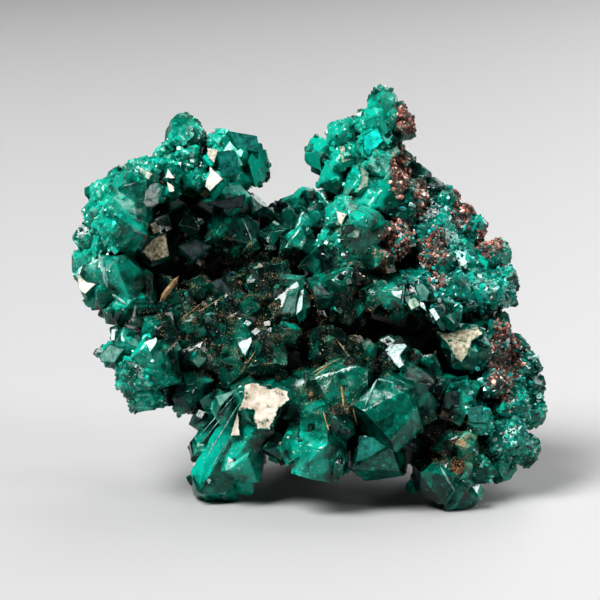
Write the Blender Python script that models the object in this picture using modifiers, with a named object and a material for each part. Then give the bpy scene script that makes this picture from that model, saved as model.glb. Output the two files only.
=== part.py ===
"""A cluster of dioptase crystals, grown together on one thin hollow crust.

Open face towards -Y, +Z up, metres. The cluster stands on three natural feet, which touch z = 0.
The tables are drawn on the open face, which leans back a little: each place is given as the
distance across it, up it and out from it, in millimetres of a specimen 50 mm wide.
"""

import math
import random

import bmesh
import bpy
from mathutils import Matrix, Vector, noise
from mathutils.bvhtree import BVHTree

# Driving dimensions
WIDTH = 0.050
UNIT = WIDTH / 50.0
FACE_LEAN = math.radians(10.0)
FACE_DROP = 1.5
MIDDLE_ACROSS = -0.193
MIDDLE_BACK = 6.803

# Dioptase is trigonal: a six-sided prism under a rhombohedron whose faces stand 51 degrees off
# the axis. Lengths are in radii of the crystal.
PRISM_SIDES = 6
PRISM_SPREAD = (0.78, 1.0)
TIP_SIDES = 3
TIP_ANGLE = math.radians(51.0)
TIP_TURN = 0.25
TIP_REACH = 0.62
TIP_SPREAD = 0.12
BLUNT_DEPTH = 0.5
AXIS_LEAN = (6.0, 24.0)
SHORTEST = 2.2
FARTHEST_FROM_CRUST = 2.4
TURN_BACK = 1.5

# The crust, and how deep the crystals are rooted in it
VOXEL = 0.75
CRUST_TRIANGLES = 600
LUMP_ROUGHNESS = 0.24
ROOT_DEPTH = 1.2
LONGEST_ROOT = 9.0

# Crystals that close the crust between the ones drawn in the tables
FILLER_COUNT = 18
FILLER_RADIUS = (1.6, 2.7)
FILLER_BLUNT = (0.5, 1.1)
FILLER_TRIES = 4000
FILLER_FACING = 0.5
FILLER_STAND = 0.75
FILLER_SPACING = 0.95
FILLER_JITTER = 0.35
SEED = 11

# The crust: (across, up, out, half width, half height, half depth) of each swelling
LEFT_WALL = [
    (-20.6, 30.3, -3.5, 3.5, 4.2, 5.0),
    (-21.6, 26.0, -4.4, 2.7, 4.2, 5.8),
    (-18.6, 33.8, -5.5, 4.0, 2.6, 4.5),
    (-14.0, 36.6, -7.5, 4.0, 3.0, 4.0),
    (-8.8, 36.0, -8.5, 3.4, 3.2, 3.8),
    (-13.8, 39.3, -7.5, 1.5, 1.9, 2.0),
    (-19.5, 21.8, -3.0, 3.4, 2.9, 5.0),
]
HOLLOW_BACK = [
    (-13.5, 28.0, -13.0, 8.5, 8.0, 4.6),
    (-4.0, 24.5, -12.5, 8.0, 7.0, 6.0),
    (-1.8, 30.6, -13.5, 3.6, 2.4, 3.6),
]
LOWER_LEFT = [
    (-17.5, 15.0, 0.5, 2.7, 3.4, 4.5),
    (-12.0, 15.5, -4.5, 6.0, 5.0, 5.5),
    (-5.0, 17.0, -4.5, 7.0, 6.0, 7.0),
]
MIDDLE = [
    (-3.5, 11.0, 0.5, 5.5, 4.0, 6.0),
    (4.0, 12.0, 0.5, 6.0, 5.0, 6.5),
    (8.0, 10.5, 2.5, 3.2, 4.6, 5.0),
    (13.0, 9.5, -1.0, 5.0, 5.0, 5.5),
]
RIGHT_LOBE = [
    (20.4, 10.5, -2.5, 2.9, 5.8, 5.5),
    (18.5, 16.5, -3.0, 3.4, 4.2, 5.5),
]
RIGHT_PEAK = [
    (5.0, 26.0, -6.0, 5.2, 6.0, 6.5),
    (7.6, 32.0, -7.5, 4.6, 6.0, 5.2),
    (6.2, 37.3, -8.5, 3.6, 4.3, 3.6),
    (7.6, 41.0, -8.5, 2.3, 2.4, 2.2),
    (11.4, 33.2, -8.5, 2.8, 3.0, 3.4),
    (15.2, 30.0, -8.5, 2.8, 2.8, 3.4),
    (13.2, 28.3, -7.5, 4.2, 4.8, 5.0),
    (17.4, 24.5, -6.5, 3.4, 3.2, 5.0),
    (11.0, 22.0, -3.5, 6.0, 3.4, 6.0),
    (1.6, 37.2, -9.5, 1.6, 1.8, 1.8),
]
BACK = [
    (1.0, 14.5, -11.0, 9.0, 8.0, 5.0),
    (10.0, 17.0, -11.0, 7.5, 7.5, 5.0),
]
FEET = [
    (-7.8, 6.4, 2.4, 2.8, 4.6, 3.2),
    (14.4, 3.6, 5.5, 2.8, 2.8, 3.0),
    (1.0, 6.6, -13.5, 3.0, 4.0, 3.0),
]
SWELLINGS = LEFT_WALL + HOLLOW_BACK + LOWER_LEFT + MIDDLE + RIGHT_LOBE + RIGHT_PEAK + BACK + FEET

# The crystals: (across, up, out) of the tip, the way it points, its radius and how blunt its tip is
LEFT_RIM_CRYSTALS = [
    (-13.7, 41.7, -6.5, 0.1, 1.0, 0.25, 2.0, 0.6),
    (-14.9, 39.4, -6.0, -0.75, 0.6, 0.3, 1.5, 0.5),
    (-12.0, 40.4, -5.8, 0.5, 0.7, 0.5, 1.4, 0.5),
    (-9.8, 39.9, -6.2, -0.2, 0.8, 0.6, 1.7, 0.8),
    (-7.4, 39.2, -6.0, 0.35, 0.7, 0.6, 2.6, 1.0),
    (-8.9, 36.6, -3.2, 0.15, 0.1, 1.0, 1.7, 1.1),
    (-5.8, 35.6, -6.5, 0.85, 0.0, 0.5, 2.3, 0.9),
    (-10.3, 37.8, -3.2, -0.2, 0.2, 1.0, 1.0, 0.9),
    (-10.4, 34.9, -2.6, -0.1, 0.3, 0.9, 1.4, 0.9),
    (-8.2, 33.0, -3.6, 0.15, -0.4, 0.9, 1.8, 1.0),
    (-15.0, 35.3, -2.8, 0.1, 0.3, 1.0, 1.0, 0.8),
    (-14.8, 33.9, -3.0, 0.1, -0.1, 1.0, 0.9, 0.8),
    (-12.5, 35.4, -3.2, 0.0, -0.1, 1.0, 1.7, 0.7),
    (-13.0, 37.8, -3.9, 0.1, 0.4, 0.9, 1.6, 0.6),
    (-17.8, 35.7, -2.4, -0.2, 0.5, 0.8, 1.5, 0.9),
    (-18.6, 34.0, -0.9, 0.5, -0.1, 0.85, 2.1, 0.9),
    (-22.9, 34.1, -2.8, -0.75, 0.6, 0.4, 1.7, 0.6),
    (-23.7, 31.8, -2.4, -0.9, 0.35, 0.4, 1.7, 0.6),
    (-20.9, 35.9, -3.8, -0.5, 0.85, 0.3, 1.6, 0.6),
    (-18.7, 36.8, -4.6, -0.4, 0.85, 0.35, 1.6, 0.6),
    (-19.7, 29.4, 1.6, 0.5, -0.1, 0.85, 2.8, 0.9),
    (-24.7, 28.9, -1.2, -0.9, 0.3, 0.4, 1.6, 0.5),
    (-24.7, 26.3, -0.6, -1.0, 0.0, 0.35, 1.7, 0.5),
    (-23.8, 23.9, 0.6, -0.5, -0.3, 0.8, 1.6, 0.9),
    (-18.7, 24.3, 0.9, 0.65, 0.1, 0.75, 2.9, 1.1),
    (-22.2, 21.9, 1.3, -0.4, -0.6, 0.6, 1.6, 0.6),
    (-23.5, 21.8, 0.2, -0.8, -0.7, 0.3, 1.1, 0.4),
    (-18.0, 21.8, 1.0, 0.35, 0.3, 0.85, 1.6, 1.0),
    (-20.4, 20.4, 2.2, -0.3, -0.4, 0.85, 1.6, 0.7),
]
LOWER_LEFT_CRYSTALS = [
    (-21.2, 16.5, 4.6, -0.7, 0.15, 0.65, 1.5, 1.1),
    (-20.5, 18.5, 3.6, -0.8, 0.2, 0.6, 1.0, 0.9),
    (-17.0, 17.1, 6.8, 0.0, 0.3, 0.95, 1.7, 0.7),
    (-19.4, 17.6, 5.7, -0.3, 0.4, 0.85, 1.6, 0.6),
    (-14.5, 15.4, 4.8, 0.75, 0.0, 0.7, 2.7, 1.1),
    (-18.5, 14.0, 6.5, -0.25, -0.15, 0.95, 2.1, 0.7),
    (-19.2, 12.8, 4.4, -0.75, -0.45, 0.6, 1.5, 0.5),
    (-17.3, 11.2, 4.4, 0.0, -0.75, 0.65, 1.9, 0.7),
    (-16.1, 19.6, 3.8, 0.0, 0.75, 0.65, 1.5, 0.9),
    (-13.5, 10.8, 2.3, -0.2, -0.7, 0.6, 1.8, 0.7),
    (-12.1, 9.2, 3.3, -0.3, -0.85, 0.4, 1.4, 0.6),
    (-11.7, 10.9, 1.0, -0.3, -0.5, 0.7, 1.7, 0.6),
    (-15.4, 11.7, 2.2, -0.1, -0.6, 0.7, 1.6, 0.6),
]
HOLLOW_CRYSTALS = [
    (-16.5, 27.8, -3.6, 0.25, 0.35, 0.9, 1.8, 1.2),
    (-13.2, 30.7, -5.4, 0.1, 0.1, 1.0, 1.5, 0.9),
    (-14.6, 32.6, -6.2, 0.2, -0.4, 0.9, 1.6, 0.9),
    (-11.2, 32.4, -6.8, -0.1, -0.3, 0.9, 1.7, 0.9),
    (-15.6, 30.2, -5.8, 0.5, 0.1, 0.9, 1.5, 0.9),
    (-12.4, 27.6, -6.0, 0.15, 0.5, 0.85, 1.9, 1.1),
    (-8.5, 29.6, -5.6, 0.1, 0.15, 1.0, 3.0, 0.9),
    (-9.0, 23.9, -2.7, 0.35, 0.45, 0.8, 2.0, 1.1),
    (-12.6, 23.0, -3.0, 0.0, 0.35, 0.9, 3.0, 1.0),
    (-15.3, 24.3, -4.0, 0.4, 0.4, 0.8, 1.1, 0.7),
    (-4.1, 25.0, -1.6, -0.05, 0.15, 1.0, 2.5, 1.0),
    (-1.0, 28.4, -4.2, 0.0, 0.4, 0.9, 2.1, 0.8),
    (-4.2, 28.7, -6.2, 0.0, 0.3, 0.9, 1.9, 0.8),
    (-1.7, 22.6, 3.2, -0.25, 0.35, 0.9, 2.2, 1.1),
    (0.9, 23.0, 2.2, 0.35, 0.3, 0.9, 2.0, 0.8),
    (-6.9, 17.3, 2.4, -0.2, 0.3, 0.9, 1.4, 1.0),
    (-11.5, 15.8, 1.9, 0.5, -0.1, 0.85, 1.0, 0.9),
    (-4.8, 16.3, 4.8, -0.1, 0.1, 1.0, 2.5, 0.9),
    (-9.5, 18.5, -0.2, 0.0, 0.2, 1.0, 2.1, 0.8),
    (-13.0, 18.5, -0.7, 0.1, 0.2, 1.0, 2.5, 0.9),
    (-9.7, 21.2, -0.9, 0.1, 0.2, 0.95, 1.8, 0.9),
    (-12.6, 13.0, 1.9, -0.15, -0.1, 1.0, 2.3, 0.9),
    (-7.9, 20.8, 0.2, 0.1, 0.3, 0.9, 2.2, 0.9),
    (-8.2, 14.4, 2.6, -0.1, 0.1, 1.0, 2.2, 0.9),
    (-10.8, 11.3, 3.4, -0.3, -0.2, 0.9, 1.7, 0.8),
    (-16.2, 20.2, 0.6, 0.4, 0.2, 0.9, 1.5, 1.0),
    (1.4, 18.2, 4.4, 0.05, 0.2, 1.0, 2.3, 0.7),
    (-2.4, 18.9, 4.2, 0.0, 0.3, 0.9, 1.3, 0.6),
    (4.5, 20.6, 2.0, 0.0, 0.2, 0.9, 2.1, 0.8),
    (3.4, 24.0, 2.8, 0.0, 0.35, 0.9, 1.9, 0.8),
    (6.5, 22.9, 4.3, -0.2, 0.2, 0.9, 1.8, 0.8),
    (9.0, 22.9, 5.3, -0.1, 0.35, 0.9, 1.9, 1.0),
    (12.0, 22.6, 5.2, 0.2, 0.3, 0.9, 1.9, 1.1),
    (13.2, 20.6, 5.6, 0.0, -0.05, 1.0, 1.1, 1.0),
    (14.8, 20.4, 5.0, 0.35, 0.1, 0.9, 1.6, 0.7),
    (9.3, 16.7, 6.9, 0.3, 0.2, 0.9, 2.1, 1.2),
    (6.6, 16.1, 6.2, -0.2, 0.2, 0.9, 1.7, 0.8),
    (10.7, 16.2, 6.6, 0.6, 0.0, 0.8, 1.3, 0.7),
    (12.8, 15.7, 3.6, 0.2, 0.2, 0.9, 1.5, 0.8),
    (4.7, 17.7, 4.6, 0.0, 0.3, 0.9, 1.4, 0.7),
]
FRONT_CRYSTALS = [
    (3.0, 12.7, 8.3, -0.15, 0.25, 0.95, 3.7, 1.1),
    (7.8, 10.3, 11.0, 0.1, 0.1, 1.0, 3.8, 1.0),
    (10.6, 14.2, 7.6, 0.35, 0.65, 0.7, 2.4, 1.0),
    (12.4, 11.2, 6.8, 0.8, 0.0, 0.6, 2.4, 0.9),
    (7.6, 5.9, 8.8, 0.1, -0.4, 0.9, 3.1, 0.9),
    (2.8, 9.3, 9.8, -0.3, -0.1, 0.9, 2.0, 0.8),
    (0.7, 5.0, 10.4, -0.05, -0.45, 0.85, 2.8, 0.8),
    (-1.9, 6.4, 10.2, -0.5, 0.1, 0.8, 1.6, 0.8),
    (2.7, 4.7, 9.8, 0.5, -0.65, 0.5, 1.4, 0.6),
    (-3.3, 6.4, 6.9, 0.0, -0.4, 0.9, 1.8, 0.8),
]
LEFT_FOOT_CRYSTALS = [
    (-5.9, 11.9, 8.4, -0.05, 0.15, 1.0, 2.4, 1.2),
    (-3.3, 11.6, 8.0, 0.15, 0.1, 1.0, 1.7, 1.1),
    (-5.0, 9.2, 8.6, 0.0, 0.1, 1.0, 1.5, 1.1),
    (-6.8, 5.2, 6.6, 0.15, -0.35, 0.95, 2.4, 0.8),
    (-8.9, 1.3, 3.2, 0.0, -0.8, 0.4, 1.5, 0.7),
    (-6.9, 2.9, 4.0, 0.3, -0.75, 0.4, 1.2, 0.6),
    (-9.3, 11.6, 7.0, -0.5, 0.4, 0.7, 1.4, 1.0),
    (-11.9, 6.3, 3.2, -0.85, 0.1, 0.5, 1.5, 0.7),
]
RIGHT_FOOT_CRYSTALS = [
    (13.4, 3.2, 8.4, -0.1, -0.25, 0.95, 2.4, 1.0),
    (15.8, 1.4, 7.2, 0.55, -0.45, 0.7, 2.0, 1.0),
    (14.8, 6.2, 6.2, 0.0, -0.1, 1.0, 2.3, 0.9),
    (14.4, 10.5, 5.4, -0.3, 0.0, 0.9, 2.1, 1.0),
    (10.7, 6.0, 3.4, 0.0, -0.3, 0.9, 1.9, 0.9),
    (13.5, 13.4, 4.6, -0.3, 0.2, 0.9, 2.1, 0.9),
]
RIGHT_LOBE_CRYSTALS = [
    (18.1, 9.7, 5.8, 0.0, 0.0, 1.0, 1.5, 0.9),
    (16.0, 13.0, 5.5, -0.2, 0.0, 0.9, 1.7, 1.1),
    (21.5, 7.4, 3.8, 0.4, -0.2, 0.85, 2.5, 0.7),
    (24.4, 10.4, -0.4, 0.95, 0.0, 0.35, 1.9, 0.6),
    (24.4, 13.0, -1.0, 0.95, 0.05, 0.3, 1.6, 0.6),
    (23.8, 15.5, -0.6, 0.85, 0.35, 0.4, 1.6, 0.6),
    (22.5, 17.7, -1.6, 0.7, 0.65, 0.3, 1.4, 0.5),
    (23.7, 5.9, -0.4, 0.8, -0.45, 0.4, 1.9, 0.6),
    (20.5, 3.6, 1.4, 0.25, -0.9, 0.4, 1.7, 0.6),
    (18.8, 4.2, 4.8, 0.0, -0.55, 0.8, 1.7, 0.8),
    (19.6, 13.8, 4.4, 0.2, 0.1, 0.95, 1.8, 0.6),
    (21.9, 11.2, 3.4, 0.5, 0.1, 0.85, 2.0, 0.6),
    (16.2, 17.4, 4.6, -0.1, 0.3, 0.95, 2.6, 1.3),
    (20.3, 19.0, 0.6, 0.6, 0.45, 0.65, 1.8, 0.6),
    (20.9, 20.2, -1.6, 0.85, 0.3, 0.4, 1.2, 0.5),
    (18.6, 20.9, -0.6, 0.3, 0.1, 0.9, 1.7, 0.9),
]
PEAK_CRYSTALS = [
    (21.5, 22.3, -2.6, 0.9, -0.15, 0.4, 1.8, 0.6),
    (21.8, 24.5, -3.2, 0.95, 0.2, 0.35, 1.6, 0.6),
    (21.0, 27.5, -5.2, 0.8, 0.5, 0.35, 1.9, 0.6),
    (18.6, 30.5, -6.8, 0.7, 0.65, 0.3, 1.8, 0.6),
    (15.7, 33.6, -7.2, 0.6, 0.8, 0.2, 1.7, 0.6),
    (17.3, 31.8, -7.4, 0.6, 0.8, 0.2, 1.6, 0.6),
    (12.5, 36.0, -7.7, 0.65, 0.75, 0.2, 1.6, 0.6),
    (14.0, 34.7, -7.6, 0.6, 0.8, 0.2, 1.4, 0.6),
    (10.9, 41.1, -7.6, 0.85, 0.2, 0.4, 1.5, 0.6),
    (10.0, 43.2, -7.8, 0.5, 0.8, 0.3, 1.6, 0.5),
    (8.1, 44.5, -8.2, 0.05, 1.0, 0.1, 1.9, 0.1),
    (5.9, 42.3, -7.4, -0.45, 0.8, 0.4, 1.7, 0.7),
    (3.3, 41.2, -7.2, -0.4, 0.65, 0.6, 2.1, 0.9),
    (0.4, 38.7, -8.6, -0.8, 0.3, 0.5, 1.9, 0.8),
    (6.8, 39.1, -4.2, -0.1, 0.1, 1.0, 1.9, 1.2),
    (3.8, 37.7, -4.8, 0.0, 0.2, 1.0, 1.4, 1.0),
    (1.9, 35.6, -6.4, -0.75, 0.0, 0.65, 2.0, 0.9),
    (5.7, 34.9, -2.9, 0.2, 0.2, 0.95, 1.5, 1.0),
    (3.4, 31.0, -1.2, -0.15, 0.1, 1.0, 2.2, 1.0),
    (4.4, 27.8, -0.6, -0.2, -0.25, 0.9, 2.4, 0.9),
    (8.3, 33.0, -2.4, 0.2, 0.1, 0.95, 2.0, 0.6),
    (8.6, 36.2, -4.0, 0.35, 0.2, 0.9, 1.5, 0.6),
    (4.5, 25.1, 2.0, -0.1, 0.5, 0.85, 1.6, 0.8),
    (7.4, 26.7, 1.0, 0.0, 0.2, 1.0, 1.6, 0.7),
    (9.3, 28.6, -0.6, 0.15, 0.1, 1.0, 2.2, 0.5),
    (12.9, 29.0, -2.0, 0.4, 0.2, 0.9, 1.9, 0.5),
    (13.9, 26.2, -0.6, 0.35, 0.1, 0.9, 2.0, 0.5),
    (16.9, 26.4, -2.4, 0.55, 0.3, 0.8, 2.0, 0.6),
    (15.6, 23.0, 1.2, 0.3, 0.0, 0.95, 2.3, 0.6),
    (18.9, 22.8, -0.2, 0.5, 0.05, 0.85, 2.0, 0.6),
    (11.6, 33.0, -4.4, 0.55, 0.3, 0.8, 1.8, 0.5),
    (10.9, 37.5, -6.6, 0.75, 0.5, 0.4, 1.3, 0.5),
    (9.6, 38.7, -6.0, 0.7, 0.2, 0.6, 1.4, 0.5),
    (15.2, 30.4, -5.0, 0.6, 0.5, 0.6, 1.7, 0.5),
]
BACK_LOBE_CRYSTALS = [
    (-2.6, 33.0, -12.4, -0.35, 0.85, 0.4, 1.7, 0.7),
    (-0.2, 34.0, -12.4, 0.1, 0.95, 0.3, 1.7, 0.6),
    (-4.9, 31.6, -9.6, -0.3, 0.4, 0.85, 1.1, 1.0),
    (-5.9, 32.3, -7.4, 0.4, 0.2, 0.9, 1.5, 0.8),
    (1.7, 33.7, -10.0, 0.0, 0.5, 0.8, 1.9, 0.8),
    (1.2, 31.4, -8.8, 0.0, 0.1, 1.0, 1.7, 0.8),
    (-0.6, 30.9, -9.6, 0.0, 0.3, 0.9, 2.3, 0.8),
]
DRAWN_CRYSTALS = (
    LEFT_RIM_CRYSTALS,
    LOWER_LEFT_CRYSTALS,
    HOLLOW_CRYSTALS,
    FRONT_CRYSTALS,
    LEFT_FOOT_CRYSTALS,
    RIGHT_FOOT_CRYSTALS,
    RIGHT_LOBE_CRYSTALS,
    PEAK_CRYSTALS,
    BACK_LOBE_CRYSTALS,
)

# The long crystals of the left foot: (across, up, out) of the root and of the tip, radius, blunt
LONG_FACING = 0.4
LONG_CRYSTALS = [
    (-4.6, 12.8, 5.0, -11.1, 2.0, 2.9, 2.6, 0.6),
    (-7.4, 12.4, 3.0, -12.0, 5.8, 2.2, 1.4, 0.5),
    (-4.2, 10.6, 7.0, -8.6, 4.2, 5.0, 1.6, 0.8),
]


def on_face(across, up, out):
    """A place on the leaning open face, in metres, before the cluster is moved onto the origin."""
    lean_sin, lean_cos = math.sin(FACE_LEAN), math.cos(FACE_LEAN)
    y = up * lean_sin - out * lean_cos
    z = up * lean_cos + out * lean_sin - FACE_DROP
    return Vector((across, y, z)) * UNIT


def face_direction(across, up, out):
    """A direction given on the leaning open face, in the part's frame."""
    return (on_face(across, up, out) - on_face(0, 0, 0)).normalized()


def object_from(name, bm, collection):
    mesh = bpy.data.meshes.new(name)
    bm.to_mesh(mesh)
    bm.free()
    obj = bpy.data.objects.new(name, mesh)
    collection.objects.link(obj)
    return obj


def evaluated_mesh(obj):
    """The mesh of an object with its modifiers applied."""
    bpy.context.view_layer.update()
    graph = bpy.context.evaluated_depsgraph_get()
    return bpy.data.meshes.new_from_object(obj.evaluated_get(graph))


def remove_object(obj):
    mesh = obj.data
    bpy.data.objects.remove(obj)
    bpy.data.meshes.remove(mesh)


def add_swelling(bm, across, up, out, half_width, half_height, half_depth):
    """One rough ellipsoid of the crust."""
    made = bmesh.ops.create_icosphere(bm, subdivisions=3, radius=1.0)["verts"]
    centre = on_face(across, up, out)
    for vert in made:
        ripple = noise.noise(vert.co * 1.7 + Vector((across, up, out)))
        reach = vert.co * (1.0 + LUMP_ROUGHNESS * ripple)
        offset = on_face(reach.x * half_width, reach.z * half_height, reach.y * half_depth)
        vert.co = centre + offset - on_face(0, 0, 0)


def grow_crust(collection):
    """All swellings run into one closed body, coarse enough to show broken faces."""
    bm = bmesh.new()
    for swelling in SWELLINGS:
        add_swelling(bm, *swelling)
    crust = object_from("crust", bm, collection)
    remesh = crust.modifiers.new("one_body", "REMESH")
    remesh.mode = "VOXEL"
    remesh.voxel_size = VOXEL * UNIT
    whole = evaluated_mesh(crust)
    whole.calc_loop_triangles()
    ratio = CRUST_TRIANGLES / len(whole.loop_triangles)
    bpy.data.meshes.remove(whole)
    coarse = crust.modifiers.new("broken_faces", "DECIMATE")
    coarse.ratio = ratio
    baked = evaluated_mesh(crust)
    crust.modifiers.clear()
    old = crust.data
    crust.data = baked
    bpy.data.meshes.remove(old)
    return crust


def cut_flat(bm, point, normal):
    """Takes away what lies beyond a plane and closes the cut."""
    geometry = bm.verts[:] + bm.edges[:] + bm.faces[:]
    cut = bmesh.ops.bisect_plane(
        bm, geom=geometry, dist=1e-9, plane_co=point, plane_no=normal, clear_outer=True
    )
    rim = [item for item in cut["geom_cut"] if isinstance(item, bmesh.types.BMEdge)]
    if rim:
        bmesh.ops.edgenet_fill(bm, edges=rim)


def crystal_shape(radius, length, blunt, level, rng):
    """A closed crystal along +Z with its tip near the origin, its faces set unevenly as grown ones are.

    level is the direction of the flat that blunts the tip.
    """
    bm = bmesh.new()
    bmesh.ops.create_cube(bm, size=1.0)
    reach = Vector((radius * 3, radius * 3, length))
    bmesh.ops.scale(bm, vec=reach, verts=bm.verts)
    bmesh.ops.translate(bm, vec=(0, 0, -length / 2 + radius * 0.5), verts=bm.verts)
    for side in range(PRISM_SIDES):
        turn = math.tau * side / PRISM_SIDES
        normal = Vector((math.cos(turn), math.sin(turn), 0))
        cut_flat(bm, normal * radius * rng.uniform(*PRISM_SPREAD), normal)
    for side in range(TIP_SIDES):
        turn = math.tau * (side + TIP_TURN) / TIP_SIDES
        normal = Vector((math.cos(turn), math.sin(turn), 0)) * math.sin(TIP_ANGLE)
        normal.z = math.cos(TIP_ANGLE)
        apex = radius * (TIP_REACH + rng.uniform(-TIP_SPREAD, TIP_SPREAD))
        cut_flat(bm, Vector((0, 0, apex)), normal)
    cut_flat(bm, level * radius * (TIP_REACH - BLUNT_DEPTH * blunt), level)
    bmesh.ops.recalc_face_normals(bm, faces=bm.faces)
    return bm


def root_length(tip, axis, radius, crust_tree):
    """How far a crystal runs back from its tip to stand well rooted in the crust."""
    least = SHORTEST * radius
    depth = crust_tree.ray_cast(tip, -axis, LONGEST_ROOT * UNIT)[3]
    if depth is None:
        return least + ROOT_DEPTH * UNIT
    return max(least, depth + ROOT_DEPTH * UNIT + radius / 2)


def growing_axis(tip, direction, radius, blunt, crust_tree, rng):
    """The long axis of a crystal, a few degrees off the direction of its blunt face.

    It is turned back to the crust where it would miss it.
    """
    tilt_axis = direction.orthogonal().normalized()
    tilt_axis.rotate(Matrix.Rotation(rng.uniform(0, math.tau), 3, direction))
    lean = math.radians(rng.uniform(*AXIS_LEAN)) * min(1.0, blunt)
    axis = direction.copy()
    axis.rotate(Matrix.Rotation(lean, 3, tilt_axis))
    depth = crust_tree.ray_cast(tip, -axis, LONGEST_ROOT * UNIT)[3]
    if depth is None or depth > FARTHEST_FROM_CRUST * radius:
        nearest = crust_tree.find_nearest(tip)[0]
        axis = (axis + TURN_BACK * (tip - nearest).normalized()).normalized()
    return axis


def turned_about(axis, rng):
    """A rotation that sets +Z along an axis, at a chance angle about it."""
    spin = Matrix.Rotation(rng.uniform(0, math.tau), 3, "Z")
    return axis.to_track_quat("Z", "Y").to_matrix() @ spin


def grow_crystal(name, tip, direction, radius, blunt, crust_tree, rng, collection):
    """One crystal whose free end is at tip and whose root is in the crust."""
    axis = growing_axis(tip, direction, radius, blunt, crust_tree, rng)
    length = root_length(tip, axis, radius, crust_tree)
    turn = turned_about(axis, rng)
    level = turn.inverted() @ direction
    bm = crystal_shape(radius, length, blunt, level, rng)
    bmesh.ops.transform(bm, matrix=Matrix.Translation(tip) @ turn.to_4x4(), verts=bm.verts)
    return object_from(name, bm, collection)


def grow_long(index, root, tip, radius, blunt, collection):
    """A crystal that lies along the cluster and shows its long prism faces."""
    rng = random.Random(SEED + index)
    axis = (tip - root).normalized()
    turn = turned_about(axis, rng)
    level = turn.inverted() @ (axis + LONG_FACING * face_direction(0, 0, 1)).normalized()
    bm = crystal_shape(radius, (tip - root).length, blunt, level, rng)
    bmesh.ops.transform(bm, matrix=Matrix.Translation(tip) @ turn.to_4x4(), verts=bm.verts)
    return object_from(f"long_crystal_{index}", bm, collection)


def crust_samples(crust, rng):
    """Random points on the crust with their outward directions, by area."""
    faces = crust.data.polygons
    weights = [face.area for face in faces]
    for face in rng.choices(faces, weights, k=FILLER_TRIES):
        corners = [crust.data.vertices[i].co for i in face.vertices]
        share = sorted((rng.random(), rng.random()))
        place = corners[0] * share[0] + corners[1] * (share[1] - share[0])
        yield place + corners[2] * (1 - share[1]), face.normal.copy()


def grow_fillers(crust, taken, crust_tree, rng, collection):
    """Crystals scattered on the back of the crust, which the tables leave bare."""
    grown = 0
    for place, normal in crust_samples(crust, rng):
        if grown == FILLER_COUNT:
            break
        radius = rng.uniform(*FILLER_RADIUS) * UNIT
        tip = place + normal * radius * FILLER_STAND
        if tip.z < radius or normal.y < FILLER_FACING:
            continue
        if any((tip - other).length < FILLER_SPACING * (radius + size) for other, size in taken):
            continue
        jitter = Vector((rng.uniform(-1, 1), rng.uniform(-1, 1), rng.uniform(-1, 1)))
        direction = (normal + FILLER_JITTER * jitter).normalized()
        blunt = rng.uniform(*FILLER_BLUNT)
        name = f"filler_{grown}"
        grow_crystal(name, tip, direction, radius, blunt, crust_tree, rng, collection)
        taken.append((tip, radius))
        grown += 1


def grow_drawn(crust_tree, collection):
    """The crystals of the tables, each with its own seed."""
    taken = []
    for group, crystals in enumerate(DRAWN_CRYSTALS):
        for index, (across, up, out, *aim, radius, blunt) in enumerate(crystals):
            rng = random.Random(SEED + 1000 * group + index)
            tip = on_face(across, up, out)
            direction = face_direction(*aim)
            name = f"crystal_{group}_{index}"
            grow_crystal(name, tip, direction, radius * UNIT, blunt, crust_tree, rng, collection)
            taken.append((tip, radius * UNIT))
    for index, (*ends, radius, blunt) in enumerate(LONG_CRYSTALS):
        root, tip = on_face(*ends[:3]), on_face(*ends[3:])
        grow_long(index, root, tip, radius * UNIT, blunt, collection)
        taken.append((tip, radius * UNIT))
    return taken


def join_cluster(crust, crystals):
    """One solid: the crust and every crystal that grew on it."""
    union = crust.modifiers.new("grown_together", "BOOLEAN")
    union.operation = "UNION"
    union.solver = "EXACT"
    union.operand_type = "COLLECTION"
    union.collection = crystals
    return evaluated_mesh(crust)


def island_of(start):
    """All faces that hang together with one face."""
    island = {start}
    rim = [start]
    while rim:
        face = rim.pop()
        beside = {other for edge in face.edges for other in edge.link_faces} - island
        island |= beside
        rim.extend(beside)
    return island


def fill_sealed_pockets(bm):
    """Leaves only the outer skin, so that no pocket stays closed in between the crystals."""
    left = set(bm.faces)
    islands = []
    while left:
        island = island_of(next(iter(left)))
        left -= island
        islands.append(island)
    outer = max(islands, key=len)
    inner = [face for face in bm.faces if face not in outer]
    bmesh.ops.delete(bm, geom=inner, context="FACES")


def dioptase_material():
    material = bpy.data.materials.new("dioptase")
    material.use_nodes = True
    shader = material.node_tree.nodes["Principled BSDF"]
    shader.inputs["Base Color"].default_value = (0.0, 0.21, 0.14, 1.0)
    shader.inputs["Roughness"].default_value = 0.15
    shader.inputs["Metallic"].default_value = 0.0
    shader.inputs["IOR"].default_value = 1.67
    return material


def main():
    for old in list(bpy.data.objects):
        bpy.data.objects.remove(old)
    scene = bpy.context.scene.collection
    shown = bpy.data.collections.new("dioptase")
    helpers = bpy.data.collections.new("growing")
    scene.children.link(shown)
    scene.children.link(helpers)
    crust = grow_crust(shown)
    corners = [vert.co.copy() for vert in crust.data.vertices]
    crust_tree = BVHTree.FromPolygons(corners, [face.vertices[:] for face in crust.data.polygons])
    taken = grow_drawn(crust_tree, helpers)
    grow_fillers(crust, taken, crust_tree, random.Random(SEED), helpers)
    mesh = join_cluster(crust, helpers)
    for helper in list(helpers.objects):
        remove_object(helper)
    bpy.data.collections.remove(helpers)
    remove_object(crust)
    bm = bmesh.new()
    bm.from_mesh(mesh)
    cut_flat(bm, Vector((0, 0, 0)), Vector((0, 0, -1)))
    fill_sealed_pockets(bm)
    middle = Vector((MIDDLE_ACROSS, MIDDLE_BACK, 0)) * UNIT
    bmesh.ops.translate(bm, vec=-middle, verts=bm.verts)
    bpy.data.meshes.remove(mesh)
    cluster = object_from("dioptase_cluster", bm, shown)
    cluster.data.materials.append(dioptase_material())


main()
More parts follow.
